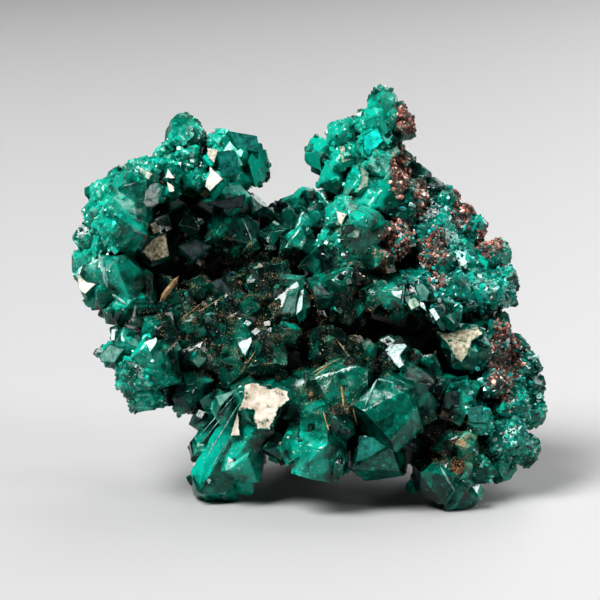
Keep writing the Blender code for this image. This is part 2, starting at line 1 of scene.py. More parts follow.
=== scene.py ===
"""The looks of a dioptase specimen: emerald crystals, druse, red-brown crumbs and dust on one solid."""
import math
import random

import bmesh
import bpy
import numpy as np
from mathutils import Matrix, Vector, noise
from mathutils.bvhtree import BVHTree


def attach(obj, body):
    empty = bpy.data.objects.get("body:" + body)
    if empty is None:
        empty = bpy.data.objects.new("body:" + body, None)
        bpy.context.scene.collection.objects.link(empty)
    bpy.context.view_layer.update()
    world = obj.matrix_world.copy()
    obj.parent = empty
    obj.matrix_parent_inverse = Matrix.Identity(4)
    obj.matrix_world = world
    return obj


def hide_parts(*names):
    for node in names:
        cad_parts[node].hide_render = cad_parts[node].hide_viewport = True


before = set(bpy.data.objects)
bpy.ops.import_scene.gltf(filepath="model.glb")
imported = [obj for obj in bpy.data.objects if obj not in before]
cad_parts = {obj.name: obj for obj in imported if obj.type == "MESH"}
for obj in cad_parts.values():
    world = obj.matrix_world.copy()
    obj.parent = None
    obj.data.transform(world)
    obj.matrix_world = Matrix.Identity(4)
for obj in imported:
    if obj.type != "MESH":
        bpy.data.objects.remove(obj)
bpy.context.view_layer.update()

# Driving dimensions: the specimen is 50 mm wide, and its open face leans back a little.
# Places on that face are in millimetres across it, up it and out from it.
WIDTH = 0.050
UNIT = WIDTH / 50.0
FACE_LEAN = math.radians(10.0)
FACE_DROP = 1.5
MIDDLE_ACROSS = -0.193
MIDDLE_BACK = 6.803
STONE_NODE = "dioptase_cluster"
BODY = "root"

# The photograph's frame: which pixel is the face's origin, and how many millimetres a pixel spans
PHOTO_SIDE = 600
PHOTO_ORIGIN = (310, 508)
MM_PER_PIXEL = 50.0 / 470.0
LENS = 150.0
SENSOR = 36.0
CLIP_START = 0.01
SIGHT_LIMIT = 0.6

# Each light's direction from the leaning face, side in metres and power in watts
LIGHTS = {
    "key": ((-0.52, 0.8, 0.5), 0.6, 25),
    "back": ((0.55, 0.85, -0.65), 1.2, 11),
    "fill": ((0.95, 0.55, 0.55), 0.42, 4.5),
}
LIGHT_DISTANCE = 1.2
LIT_HEIGHT = 22
SKY_GREY = (0.08, 0.08, 0.08, 1)
FLOOR_SIDE = 6.0
FLOOR_GREY = (0.37, 0.37, 0.37, 1)
FLOOR_ROUGHNESS = 0.6

# The grown surface
WELD = 2e-6
FLAT_ANGLE = math.radians(0.6)
LONGEST_EDGE = 0.55
REFINE_PASSES = 5
RIDGE_ANGLE = math.radians(22.0)
SHARP_ANGLE = math.radians(20.0)
SWELL_SPAN = 2.0
SWELL_HEIGHT = 0.16
GRAIN_SPAN = 0.75
GRAIN_HEIGHT = 0.05
GRAIN_SHIFT = Vector((5.0, 2.0, 9.0))
LOWEST_UNEVEN = 0.05
RIM_THINNING = 0.7
OPENNESS_RAYS = 14
OPENNESS_REACH = 11.0
SHORTEST_WAY = 0.05
OUTWARD_PUSH = 1.05
LIFT_OFF = 0.12
SEED = 7

# Small shapes, in radii: crystals with three-faced ends, and crumbs
CRYSTAL_BLOCK = 3.0
SIDE_DISTANCE = (0.72, 1)
END_FACES = 3
END_TILT = math.radians(51.0)
END_TURN = 0.25
END_RISE = (0.25, 0.6)
BLUNT_TILT = 0.4
STREWN_LENGTH = (1.6, 2.6)
BLUNT_SHARE = 0.5
CRUMB_RADIUS = (0.7, 1.15)
CRUMB_WIDTH = (0.6, 1)
CRUMB_HEIGHT = (0.5, 0.9)
SHAPES_OF_A_KIND = 8
CROWDING = 1.4
SIZE_SKEW = 2.2
CHANCE_SEED_STEP = 5.0


def on_face(across, up, out=0.0):
    """A place on the leaning open face, in metres, in the part's frame."""
    lean_sin, lean_cos = math.sin(FACE_LEAN), math.cos(FACE_LEAN)
    y = up * lean_sin - out * lean_cos
    z = up * lean_cos + out * lean_sin - FACE_DROP
    return Vector((across - MIDDLE_ACROSS, y - MIDDLE_BACK, z)) * UNIT


def face_direction(across, up, out):
    """A direction given on the leaning open face, in the part's frame."""
    return (on_face(across, up, out) - on_face(0, 0, 0)).normalized()


def across_and_up(pixel):
    """Where one pixel of the photograph's frame lies on the open face, in millimetres."""
    across = (pixel[0] - PHOTO_ORIGIN[0]) * MM_PER_PIXEL
    up = (PHOTO_ORIGIN[1] - pixel[1]) * MM_PER_PIXEL
    return across, up


TOWARDS_CAMERA = face_direction(0, 0, 1)
UPWARDS = face_direction(0, 1, 0)
FRAME_CENTRE = across_and_up((PHOTO_SIDE / 2, PHOTO_SIDE / 2))
CAMERA_DISTANCE = PHOTO_SIDE * MM_PER_PIXEL * UNIT * LENS / SENSOR
CAMERA_PLACE = on_face(*FRAME_CENTRE) + TOWARDS_CAMERA * CAMERA_DISTANCE
KEY_LIGHT = face_direction(*LIGHTS["key"][0])
LIT_PLACE = on_face(0, LIT_HEIGHT)


def sight_line(pixel):
    """The direction from the camera through one pixel of the photograph's frame."""
    return (on_face(*across_and_up(pixel)) - CAMERA_PLACE).normalized()


def seen_places(points):
    """Where points (rows of metres) appear on the open face from the camera, in millimetres."""
    offset = points - np.array(CAMERA_PLACE)
    scale = CAMERA_DISTANCE / -(offset @ np.array(TOWARDS_CAMERA)) / UNIT
    across = offset[:, 0] * scale + FRAME_CENTRE[0]
    up = (offset @ np.array(UPWARDS)) * scale + FRAME_CENTRE[1]
    return across, up


# Objects and node trees

def mesh_from(name, bm):
    mesh = bpy.data.meshes.new(name)
    bm.to_mesh(mesh)
    bm.free()
    return mesh


def shown_object(name, data):
    obj = bpy.data.objects.new(name, data)
    bpy.context.scene.collection.objects.link(obj)
    return obj


def object_from(name, bm, *materials):
    obj = shown_object(name, mesh_from(name, bm))
    for material in materials:
        obj.data.materials.append(material)
    return obj


def feed(tree, node, inputs):
    """Sets a node's inputs to values, or joins them to other nodes' outputs."""
    for name, value in inputs.items():
        if isinstance(value, bpy.types.NodeSocket):
            tree.links.new(value, node.inputs[name])
        else:
            node.inputs[name].default_value = value


def add_node(tree, kind, inputs=None, **settings):
    node = tree.nodes.new(kind)
    for name, value in settings.items():
        setattr(node, name, value)
    feed(tree, node, inputs or {})
    return node


# Down to bumped, the first value is another node's output, and the new node joins its tree.

def math_node(first, operation, second):
    inputs = {0: first, 1: second}
    return add_node(first.id_data, "ShaderNodeMath", inputs, operation=operation).outputs[0]


def plus(first, second):
    return math_node(first, "ADD", second)


def times(first, second):
    return math_node(first, "MULTIPLY", second)


def mixed(factor, first, second):
    """A colour between two colours."""
    inputs = {0: factor, 6: first, 7: second}
    return add_node(factor.id_data, "ShaderNodeMix", inputs, data_type="RGBA").outputs[2]


def ranged(value, low, high, to_low=0, to_high=1):
    """A value carried from one range to another, and held inside it."""
    inputs = {"Value": value, "From Min": low, "From Max": high, "To Min": to_low, "To Max": to_high}
    return add_node(value.id_data, "ShaderNodeMapRange", inputs).outputs["Result"]


def stepped(value, colour, steps):
    """A colour that gives way to each step's colour as the value goes from its low to its high."""
    for low, high, after in steps:
        colour = mixed(ranged(value, low, high), colour, after)
    return colour


def bumped(height, strength, depth):
    """A normal that follows a height, by its strength and a depth in millimetres."""
    inputs = {"Height": height, "Strength": strength, "Distance": depth * UNIT}
    return add_node(height.id_data, "ShaderNodeBump", inputs).outputs["Normal"]


def attribute(tree, name):
    return add_node(tree, "ShaderNodeAttribute", attribute_name=name).outputs["Fac"]


def texture(tree, kind, size, inputs=None, **settings):
    """A texture laid out in the part's frame, its features about size millimetres across."""
    place = add_node(tree, "ShaderNodeTexCoord").outputs["Object"]
    given = {"Vector": place, "Scale": 1.0 / (size * UNIT), **(inputs or {})}
    return add_node(tree, kind, given, **settings).outputs


def place_noise(tree, size, detail=3.0, roughness=0.55):
    return texture(tree, "ShaderNodeTexNoise", size, {"Detail": detail, "Roughness": roughness})["Fac"]


def blotches(tree, size, *reach):
    """Noise of one size, carried from a low and a high to 0 and 1 or to the numbers that follow."""
    return ranged(place_noise(tree, size), *reach)


def new_material(name):
    material = bpy.data.materials.new(name)
    material.use_nodes = True
    return material, material.node_tree, material.node_tree.nodes["Principled BSDF"]


# Finishes. Sizes are in millimetres.

DEEP_GREEN = (0, 0.013, 0.01, 1)
EMERALD = (0, 0.165, 0.11, 1)
BRIGHT_EMERALD = (0.002, 0.58, 0.425, 1)
# Colours of the painted glints
PAINTED_INNER_GLINT = (0.02, 0.86, 0.68, 1)
GLINT_PALE = (0.62, 0.9, 0.82, 1)
NEARLY_BLACK = (0.0005, 0.005, 0.004, 1)
OCHRE = (0.52, 0.21, 0.055, 1)
RUST_DARK = (0.03, 0.012, 0.009, 1)
RUST_BROWN = (0.15, 0.058, 0.042, 1)
RUST_COPPER = (0.52, 0.29, 0.22, 1)
# Pale ridges: partly wear, partly painted edge highlight
PALE_EDGE_WEAR_AND_HIGHLIGHT = (0.16, 0.62, 0.52, 1)
CRACK_GREEN = (0.06, 0.13, 0.09, 1)
RIM_GREEN = (0, 0.085, 0.062, 1)
STONE_IOR = 1.67
# Dioptase by its mark for the tone, transmission, size of growth steps, gloss and whether it absorbs inside
STONES = {
    "dioptase_stone": ("face_tone", 0.42, 0.35, 0.15, True),
    "dioptase_young": ("chance", 0.3, 0.2, 0.15, False),
    "dioptase_druse": ("chance", 0.3, 0.2, 0.6, False),
}
ABSORB_COLOUR = (0, 0.91, 0.86, 1)
ABSORB_DENSITY = 1300
FACET_DRIFT = 0.6

# Emerald: what its brightness is made of, and the steps from deep to bright
TONE_REACH = 0.3
BLOTCH_SIZE = 2.4
BLOTCH_SHARE = 1.15
FACET_LAYERS = ((1.7, 1, 0.46), (0.6, 0.4, 0.3))
# Painted glow: how much the glow mark lifts the colour
GLOW_SHARE = 0.62
# Painted shade: how much the hollow mark darkens the colour
HOLLOW_SHARE = -0.22
EMERALD_STEPS = ((0.28, 0.86, EMERALD), (0.84, 1.50, BRIGHT_EMERALD))
# Painted shade: the openness over which the colour goes from nearly black to full
LIT_OPENNESS = (0.15, 0.65)
# Painted glints, flecks inside it and on it: size and bend, how rare, their swarms, how they follow the
# brightness, and colour
PAINTED_GLINTS = (
    ((0.34, 0.2), (0.88, 0.96), (1.6, 0.48, 0.62), (0.5, 1.2, 0.15, 0.9), PAINTED_INNER_GLINT),
    ((0.15, 0.1), (0.93, 0.95), (1.1, 0.5, 0.62), (0.75, 1.25, 0, 0.9), GLINT_PALE),
)
# Ridges pale partly from wear and partly by painted edge highlights, faded by painted shade where little sky
# is seen; haze and the fine growth steps
WEAR_AND_HIGHLIGHT_SIZE = 0.8
WEAR_AND_HIGHLIGHT_RANGE = (0.5, 0.66)
WEAR_AND_HIGHLIGHT_OPENNESS = (0.3, 0.8, 0.05, 0.65)
HAZE_SIZE = 0.9
HAZE = (0.4, 0.75, 0.04, 0.22)
DULL_ROUGHNESS = 0.5
STEP_FACETS = (0.7, 0.3)
STEP_SHARE = 0.35
STEP_BUMPS = (0.7, 0.05)

# Dust: its specks and drifts, what adds to its cover, and its colours
SPECK_SIZE = 0.13
DRIFTS = (1.5, 0.42, 0.66)
DRIFT_SHARE = 0.16
EDGE_SHARE = 0.1
DUST_SHARE = 0.135
OCHRE_SHARE = 0.02
DUST_COVER = (0.735, 0.785)
DUST_START = (0.02, 0.2)
TINT_SIZE = 0.3
DUST_TINTS = ((0.13, 0.085, 0.04, 1), (0.62, 0.44, 0.24, 1))
DUST_GRAINS = ((0.16, 0.1, 0.05, 1), (0.75, 0.56, 0.34, 1))
DUST_ROUGHNESS = (0.9, 0.45)
OCHRE_TINT = 0.7

# Matrix and crust: fine grains, crumbs and granular crust
RUST_EDGE_SIZE = 0.5
RUST_EDGE = (0.85, 1.05)
RUST_FACETS = (0.24, 0.15)
RUST_STEPS = ((0.20, 0.75, RUST_BROWN), (0.84, 0.97, RUST_COPPER))
RUST_GREEN = (0.7, 0.56, 0.66, 0.0, 0.8)
CRUMB_DARK = (0.024, 0.014, 0.011, 1)
CRUMB_STEPS = ((0.12, 0.6, (0.37, 0.125, 0.088, 1)), (0.7, 0.92, (0.95, 0.56, 0.46, 1)))
CRUMB_GREEN = (0.1, 0.25, 0.19, 1)
GREENED_CRUMBS = (0.8, 0.54, 0.66)
BRIGHT_CRUMBS = (1.4, 0.32, 0.44)
CRUMB_ROUGHNESS = (0.7, 0.25)
CRUMB_GRAIN = 0.12
CRUMB_BUMPS = (0.6, 0.03)
CRUST_DARK = (0, 0.05, 0.05, 1)
# Its last step, nearly white, is painted glints on a few grains
CRUST_STEPS = (
    (0.05, 0.7, (0, 0.33, 0.29, 1)),
    (0.74, 0.92, (0.05, 0.64, 0.58, 1)),
    (0.91, 0.95, (0.66, 0.9, 0.87, 1)),
)
CRUST_BLOTCHES = (1.8, 0.4, 0.6, 0.35, 1)
# Painted shade: the openness over which the crust goes from nearly black to full
CRUST_OPENNESS = (0.12, 0.5)
CRUST_ROUGHNESS = (0.35, 0.1)
CRUST_GLOSS = 0.35

# Films: mottling, crazing and the ragged rim
BROAD_MOTTLE = 4.0
MOTTLE_SHARE = 0.7
BROAD_SHARE = 0.5
MOTTLE_STEP = (0.48, 0.72)
CRAZE_SIZE = 2.4
CRAZE_START = 0.42
FRAY_SIZE = 0.25
FRAY_SHARE = 1.4
FRAY = (0.98, 1.22)
FILM_DULLING = (0.3, 0.7)
FILM_ROUGHER = 0.25
FILM_BUMPS = (0.6, 0.06)
# Each film's dark and light colour, mottle size and width of its crazing, and what else sets it apart
FILMS = {
    # golden_flash and silver_flash are turned to throw the key light to the camera; their pale colours are
    # partly painted reflection
    "golden_flash": ((0.13, 0.12, 0.07, 1), (0.58, 0.51, 0.4, 1), 0.45, 0, RIM_GREEN, 0.3, 0.2),
    "silver_flash": ((0.05, 0.17, 0.15, 1), (0.5, 0.58, 0.56, 1), 0.38, 0, RIM_GREEN, 0.35, 0.2),
    "tan_plate": ((0.22, 0.2, 0.13, 1), (0.7, 0.64, 0.5, 1), 0.45, 0.12),
    "bronze_face": ((0.035, 0.035, 0.02, 1), (0.58, 0.5, 0.36, 1), 0.35, 0, DEEP_GREEN, 0.35, 0.2),
    "pale_haze": ((0.045, 0.15, 0.12, 1), (0.2, 0.36, 0.31, 1), 0.8, 0),
    "cream_film": ((0.36, 0.3, 0.22, 1), (0.76, 0.68, 0.58, 1), 0.8, 0.07),
    "milky_face": ((0.04, 0.17, 0.13, 1), (0.52, 0.53, 0.42, 1), 0.4, 0),
    "grey_face": ((0.004, 0.016, 0.014, 1), (0.048, 0.066, 0.068, 1), 0.9, 0, DEEP_GREEN),
    # turquoise_face: its bright turquoise is partly painted glow of light through the peak
    "turquoise_face": ((0, 0.26, 0.22, 1), (0.01, 0.84, 0.68, 1), 1, 0),
    "teal_face": ((0, 0.035, 0.028, 1), (0.01, 0.19, 0.155, 1), 0.6, 0),
    "tan_fibre": ((0.14, 0.08, 0.035, 1), (0.52, 0.36, 0.2, 1), 0.3, 0, None),
    "pale_strip": ((0.03, 0.16, 0.14, 1), (0.36, 0.56, 0.5, 1), 0.4, 0, None),
}


def vector_node(tree, operation, inputs):
    return add_node(tree, "ShaderNodeVectorMath", inputs, operation=operation).outputs[0]


def inner_facets(tree, size, bend):
    """A chance value for each planar cell, as the broken planes inside a crystal show through."""
    place = add_node(tree, "ShaderNodeTexCoord").outputs["Object"]
    drift = texture(tree, "ShaderNodeTexNoise", size / FACET_DRIFT, {"Detail": 2.0})["Color"]
    drift = vector_node(tree, "SCALE", {0: drift, "Scale": bend * UNIT})
    bent = vector_node(tree, "ADD", {0: place, 1: drift})
    cells = texture(tree, "ShaderNodeTexVoronoi", size, {"Vector": bent})
    return add_node(tree, "ShaderNodeSeparateColor", {"Color": cells["Color"]}).outputs["Red"]


def emerald_colour(tree, tone):
    """Emerald with painted shade going nearly black in the hollows and painted glow on the open rims."""
    level = plus(times(place_noise(tree, BLOTCH_SIZE), BLOTCH_SHARE), tone)
    for size, bend, share in FACET_LAYERS:
        facets = plus(inner_facets(tree, size, bend), -0.5)
        level = plus(level, times(facets, share))
    # Painted glow where the glow mark is high, painted shade where the hollow mark is
    for name, share in (("glow", GLOW_SHARE), ("hollow", HOLLOW_SHARE)):
        level = plus(level, times(attribute(tree, name), share))
    bright = stepped(level, DEEP_GREEN, EMERALD_STEPS)
    # Painted glints: bright flecks where the colour is already bright
    for cells, rare, swarms, lit, glint_colour in PAINTED_GLINTS:
        share = ranged(inner_facets(tree, *cells), *rare)
        share = times(share, blotches(tree, *swarms))
        share = times(share, ranged(level, *lit))
        bright = mixed(share, bright, glint_colour)
    # Painted shade: the less sky a place sees, the nearer its colour goes to black
    shade = ranged(attribute(tree, "openness"), *LIT_OPENNESS)
    return mixed(shade, NEARLY_BLACK, bright)


def dusted(tree, colour):
    """Tan dust lying in specks, in drifts that gather in seams and along edges; also how far it covers."""
    dust = attribute(tree, "dust")
    ochre = attribute(tree, "ochre")
    drifts = blotches(tree, *DRIFTS)
    edges = times(attribute(tree, "ridge"), dust)
    level = place_noise(tree, SPECK_SIZE, detail=2.0, roughness=0.8)
    shares = ((drifts, DRIFT_SHARE), (edges, EDGE_SHARE), (dust, DUST_SHARE), (ochre, OCHRE_SHARE))
    for amount, share in shares:
        level = plus(level, times(amount, share))
    cover = times(ranged(level, *DUST_COVER), ranged(dust, *DUST_START))
    tint = mixed(place_noise(tree, TINT_SIZE), *DUST_TINTS)
    tint = mixed(times(ochre, OCHRE_TINT), tint, OCHRE)
    return mixed(cover, colour, tint), cover


def rust_colour(tree):
    """Red-brown matrix between the crumbs: fine grains from nearly black to copper, some of them green."""
    colour = stepped(inner_facets(tree, *RUST_FACETS), RUST_DARK, RUST_STEPS)
    return mixed(blotches(tree, *RUST_GREEN), colour, EMERALD)


def stone_material(name, tone_name, clear, grain, gloss, absorbing):
    """Dioptase: partly see-through, glassy, with faint growth steps."""
    material, tree, shader = new_material(name)
    tone = ranged(attribute(tree, tone_name), 0, 1, -TONE_REACH, TONE_REACH)
    colour, cover = dusted(tree, emerald_colour(tree, tone))
    rust = plus(attribute(tree, "rust"), place_noise(tree, RUST_EDGE_SIZE))
    rust = ranged(rust, *RUST_EDGE)
    colour = mixed(rust, colour, rust_colour(tree))
    # Pale ridges, partly wear and partly painted edge highlight, fainter in painted shade where less sky is
    # seen
    wear_and_highlight = ranged(times(attribute(tree, "ridge"), place_noise(tree, WEAR_AND_HIGHLIGHT_SIZE)), *WEAR_AND_HIGHLIGHT_RANGE)
    wear_and_highlight = times(wear_and_highlight, ranged(attribute(tree, "openness"), *WEAR_AND_HIGHLIGHT_OPENNESS))
    dull = times(math_node(cover, "MAXIMUM", rust), DULL_ROUGHNESS)
    haze = ranged(place_noise(tree, HAZE_SIZE, detail=4.0), *HAZE)
    fine = place_noise(tree, grain, detail=4.0, roughness=0.65)
    height = plus(fine, times(inner_facets(tree, *STEP_FACETS), STEP_SHARE))
    feed(tree, shader, {
        "Base Color": mixed(wear_and_highlight, colour, PALE_EDGE_WEAR_AND_HIGHLIGHT),
        "Roughness": plus(haze, dull),
        "IOR": STONE_IOR,
        "Specular IOR Level": gloss,
        "Transmission Weight": clear,
        "Normal": bumped(height, *STEP_BUMPS),
    })
    if absorbing:
        inputs = {"Color": ABSORB_COLOUR, "Density": ABSORB_DENSITY}
        inside = add_node(tree, "ShaderNodeVolumeAbsorption", inputs)
        tree.links.new(inside.outputs["Volume"], tree.nodes["Material Output"].inputs["Volume"])
    return material


def crumb_material():
    """Red-brown matrix crumbs, some of them copper bright."""
    material, tree, shader = new_material("red_brown_crumbs")
    chance = attribute(tree, "chance")
    colour = stepped(chance, CRUMB_DARK, CRUMB_STEPS)
    colour = mixed(blotches(tree, *GREENED_CRUMBS), colour, CRUMB_GREEN)
    feed(tree, shader, {
        "Base Color": mixed(blotches(tree, *BRIGHT_CRUMBS), RUST_DARK, colour),
        "Roughness": ranged(chance, 0, 1, *CRUMB_ROUGHNESS),
        "Normal": bumped(place_noise(tree, CRUMB_GRAIN), *CRUMB_BUMPS),
    })
    return material


def crust_material():
    """Blue-green granular crust of the right flank; painted shade in nooks, painted glints on some grains.
    """
    material, tree, shader = new_material("blue_green_crust")
    chance = attribute(tree, "chance")
    colour = stepped(chance, CRUST_DARK, CRUST_STEPS)
    colour = mixed(blotches(tree, *CRUST_BLOTCHES), NEARLY_BLACK, colour)
    # Painted shade: the crust goes nearly black where little sky is seen
    shade = ranged(attribute(tree, "openness"), *CRUST_OPENNESS)
    feed(tree, shader, {
        "Base Color": mixed(shade, NEARLY_BLACK, colour),
        "Roughness": ranged(chance, 0, 1, *CRUST_ROUGHNESS),
        "IOR": STONE_IOR,
        "Specular IOR Level": CRUST_GLOSS,
    })
    return material


def dust_material():
    material, tree, shader = new_material("tan_dust")
    chance = attribute(tree, "chance")
    ochre = times(attribute(tree, "ochre"), OCHRE_TINT)
    feed(tree, shader, {
        "Base Color": mixed(ochre, mixed(chance, *DUST_GRAINS), OCHRE),
        "Roughness": ranged(chance, 0, 1, *DUST_ROUGHNESS),
    })
    return material


def film_material(name, dark, light, size, cracks, rim=RIM_GREEN, gloss=0.12, rough=0.35):
    """A mottled film on a flat face, crazed where cracks is above zero, ragged where it has a rim."""
    material, tree, shader = new_material(name)
    mottle = place_noise(tree, size, detail=5.0, roughness=0.72)
    broad = place_noise(tree, size * BROAD_MOTTLE)
    level = plus(times(mottle, MOTTLE_SHARE), times(broad, BROAD_SHARE))
    colour = mixed(ranged(level, *MOTTLE_STEP), dark, light)
    if cracks:
        cells = texture(tree, "ShaderNodeTexVoronoi", CRAZE_SIZE, feature="DISTANCE_TO_EDGE")
        gaps = ranged(plus(cells["Distance"], mottle), CRAZE_START, CRAZE_START + cracks)
        colour = mixed(gaps, CRACK_GREEN, colour)
    if rim:
        frayed = times(place_noise(tree, FRAY_SIZE), FRAY_SHARE)
        reach = plus(attribute(tree, "inner"), frayed)
        colour = mixed(ranged(reach, *FRAY), rim, colour)
    feed(tree, shader, {
        "Base Color": colour,
        "Roughness": ranged(mottle, *FILM_DULLING, rough, rough + FILM_ROUGHER),
        "Specular IOR Level": gloss,
        "Normal": bumped(mottle, *FILM_BUMPS),
    })
    return material


# Where finishes, painted glow and painted shade lie on the open face: (across, up, half width, half height)
# in mm

# Painted glow: the colour is brightened here as if lit through
PAINTED_GLOW_PATCHES = [
    (-21.5, 30, 4.5, 8.5), (-15.5, 37.5, 5, 4.5), (-8, 36.5, 4.5, 5), (4.5, 37, 4.5, 6.5),
    (1, 32, 5, 4), (-9, 5, 4, 5), (0, 4.5, 3, 3), (20.5, 8, 4.5, 8), (-19, 14, 4.5, 5),
    (17, 27, 5.5, 6),
]
# Stronger painted glow on the peaks
LUMINOUS_PATCHES = [
    (8, 43, 3, 4.5), (2, 36.5, 4, 4), (-8.5, 37.5, 3.5, 3.5), (4.5, 32.5, 3, 4),
]
DUST_PATCHES = [
    (-8, 21, 9, 8.5), (4.5, 29.5, 2.4, 5), (6.5, 19, 6.5, 4.5), (1, 13, 4, 4), (14.5, 8, 2.5, 4.5),
    (16.6, 6, 1.8, 4.5),
]
OCHRE_PATCHES = [(16.3, 6.2, 1.2, 2.8), (12.6, 17.6, 0.8, 1.6), (7.6, 26, 1, 2.2)]
RUST_PATCHES = [
    (9.4, 28.5, 1.8, 2.3), (13.2, 27.5, 1.4, 2.4), (9.6, 35.7, 1.1, 2.5), (11.8, 33, 0.9, 2.2),
    (16.2, 32, 1.2, 2.6), (19, 28.5, 1.5, 1.8), (10.2, 41.7, 1.3, 2), (13.5, 24.2, 0.9, 1),
    (20.6, 15.5, 1.8, 4.6),
]
# Painted shade: the colour is darkened in the hollow, where more crystals are also strewn
HOLLOW_PATCHES = [(-9.5, 22.5, 7, 6), (6.5, 18.5, 6, 3.6), (14.5, 8, 2.3, 4)]
SMOOTH_PATCHES = [
    (-8.5, 6, 5.5, 6.5), (7, 9.5, 7.5, 6), (14.5, 3.5, 4.5, 3.5), (0, 4, 3, 3),
    (-18.3, 30, 2.8, 5.5), (-20, 23.5, 3.5, 4), (-7.5, 37, 3.6, 4.5), (7.5, 40, 1.8, 3),
]
CRUST_PATCHES = [(13.5, 28, 5, 6.5), (18, 24, 4.5, 4), (21, 12, 4, 8)]
DRUSE_PATCHES = [
    (-22.5, 32, 2.6, 7.5), (-16.5, 37, 3.6, 3), (-12, 38.5, 2.6, 3.5), (-19, 13, 3.8, 4.2),
    (5, 38, 3.4, 4.5), (3, 29, 3, 4), (21.5, 10, 4, 9),
]
# How far a patch reaches in half widths, and how ragged and soft its rim is
PATCH_REACH = 1.12
PATCH_RAGGED = 0.5
PATCH_RIM = 0.35
# Noise by its size and shift: what frays the patches, and what decides between rust and crust on the back
FRAYING = (1.3, 3.0)
BACK_BLOTCHES = (4.0, 11.0)
BACK_RUST_ABOVE = 0.27
BACK_CRUST_BELOW = -0.05
BACK_DRUSE = 0.8
# Painted glow over all that faces away from the camera
BACK_GLOW = 0.5
FRONT_SLOPE = 2.0
FRONT_START = 1.3
SHELTER_START = 0.35
SEAM_DUST = 0.48
OCHRE_DUST = 0.6
LUMINOUS_GLOW = 0.65
LOWEST_GROWTH = 1.2
BARE_RUST = 0.1


def soft_patches(across, up, ragged, patches):
    """How far each place is inside the patches, from 0 to 1, with a ragged rim."""
    reach = np.full(len(across), np.inf)
    for middle_across, middle_up, half_width, half_height in patches:
        gap = np.hypot((across - middle_across) / half_width, (up - middle_up) / half_height)
        reach = np.minimum(reach, gap)
    return np.clip((PATCH_REACH - reach + PATCH_RAGGED * ragged) / PATCH_RIM, 0, 1)


def noise_at(points, size, shift):
    """Noise from about -0.5 to 0.5 whose blotches are size millimetres across."""
    scale = 1.0 / (size * UNIT)
    offset = Vector((shift, -shift, shift * 0.5))
    return np.array([noise.noise(Vector(point) * scale + offset) for point in points])


# The stone itself

def packed_stone():
    """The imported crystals, their loose triangles joined and each flat face made whole."""
    bm = bmesh.new()
    bm.from_mesh(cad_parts[STONE_NODE].data)
    bmesh.ops.remove_doubles(bm, verts=bm.verts, dist=WELD)
    bmesh.ops.dissolve_limit(bm, angle_limit=FLAT_ANGLE, verts=bm.verts, edges=bm.edges)
    return bm


def give_faces_a_tone(bm):
    rng = random.Random(SEED)
    tone = bm.faces.layers.float.new("face_tone")
    for face in bm.faces:
        face[tone] = rng.random()


def refine(bm):
    """Splits long edges a few times over, until nearly all are shorter than LONGEST_EDGE."""
    bmesh.ops.triangulate(bm, faces=bm.faces)
    for _ in range(REFINE_PASSES):
        long_edges = [edge for edge in bm.edges if edge.calc_length() > LONGEST_EDGE * UNIT]
        bmesh.ops.subdivide_edges(bm, edges=long_edges, cuts=1)
        bmesh.ops.triangulate(bm, faces=[face for face in bm.faces if len(face.verts) > 3])


def ridges_and_seams(bm):
    """For each corner, whether it lies on an outer edge between flat faces, or in a seam."""
    ridge = np.zeros(len(bm.verts))
    seam = np.zeros(len(bm.verts))
    bm.verts.index_update()
    for edge in bm.edges:
        angle = edge.calc_face_angle_signed(0.0)
        if abs(angle) < RIDGE_ANGLE:
            continue
        marked = ridge if angle > 0 else seam
        for vert in edge.verts:
            marked[vert.index] = 1.0
    return ridge, seam


def openness_at(points, normals, tree):
    """The share of the sky over each place that the stone leaves free."""
    rng = random.Random(SEED)
    directions = []
    while len(directions) < OPENNESS_RAYS:
        way = Vector((rng.uniform(-1, 1), rng.uniform(-1, 1), rng.uniform(-1, 1)))
        if SHORTEST_WAY < way.length < 1.0:
            directions.append(way.normalized())
    free = np.zeros(len(points))
    for index, (point, normal) in enumerate(zip(points, normals)):
        up = Vector(normal)
        start = Vector(point) + up * LIFT_OFF * UNIT
        for way in directions:
            ray = way + up * OUTWARD_PUSH
            if tree.ray_cast(start, ray, OPENNESS_REACH * UNIT)[0] is None:
                free[index] += 1.0
    return free / OPENNESS_RAYS


def store(mesh, marks):
    """Writes marks on a mesh's corners, each one a value for every corner or the same for all."""
    for name, values in marks.items():
        layer = mesh.attributes.new(name, "FLOAT", "POINT")
        layer.data.foreach_set("value", np.full(len(mesh.vertices), values, np.float32))


def vertex_vectors(mesh, name):
    values = np.zeros(len(mesh.vertices) * 3)
    mesh.vertices.foreach_get(name, values)
    return values.reshape(-1, 3)


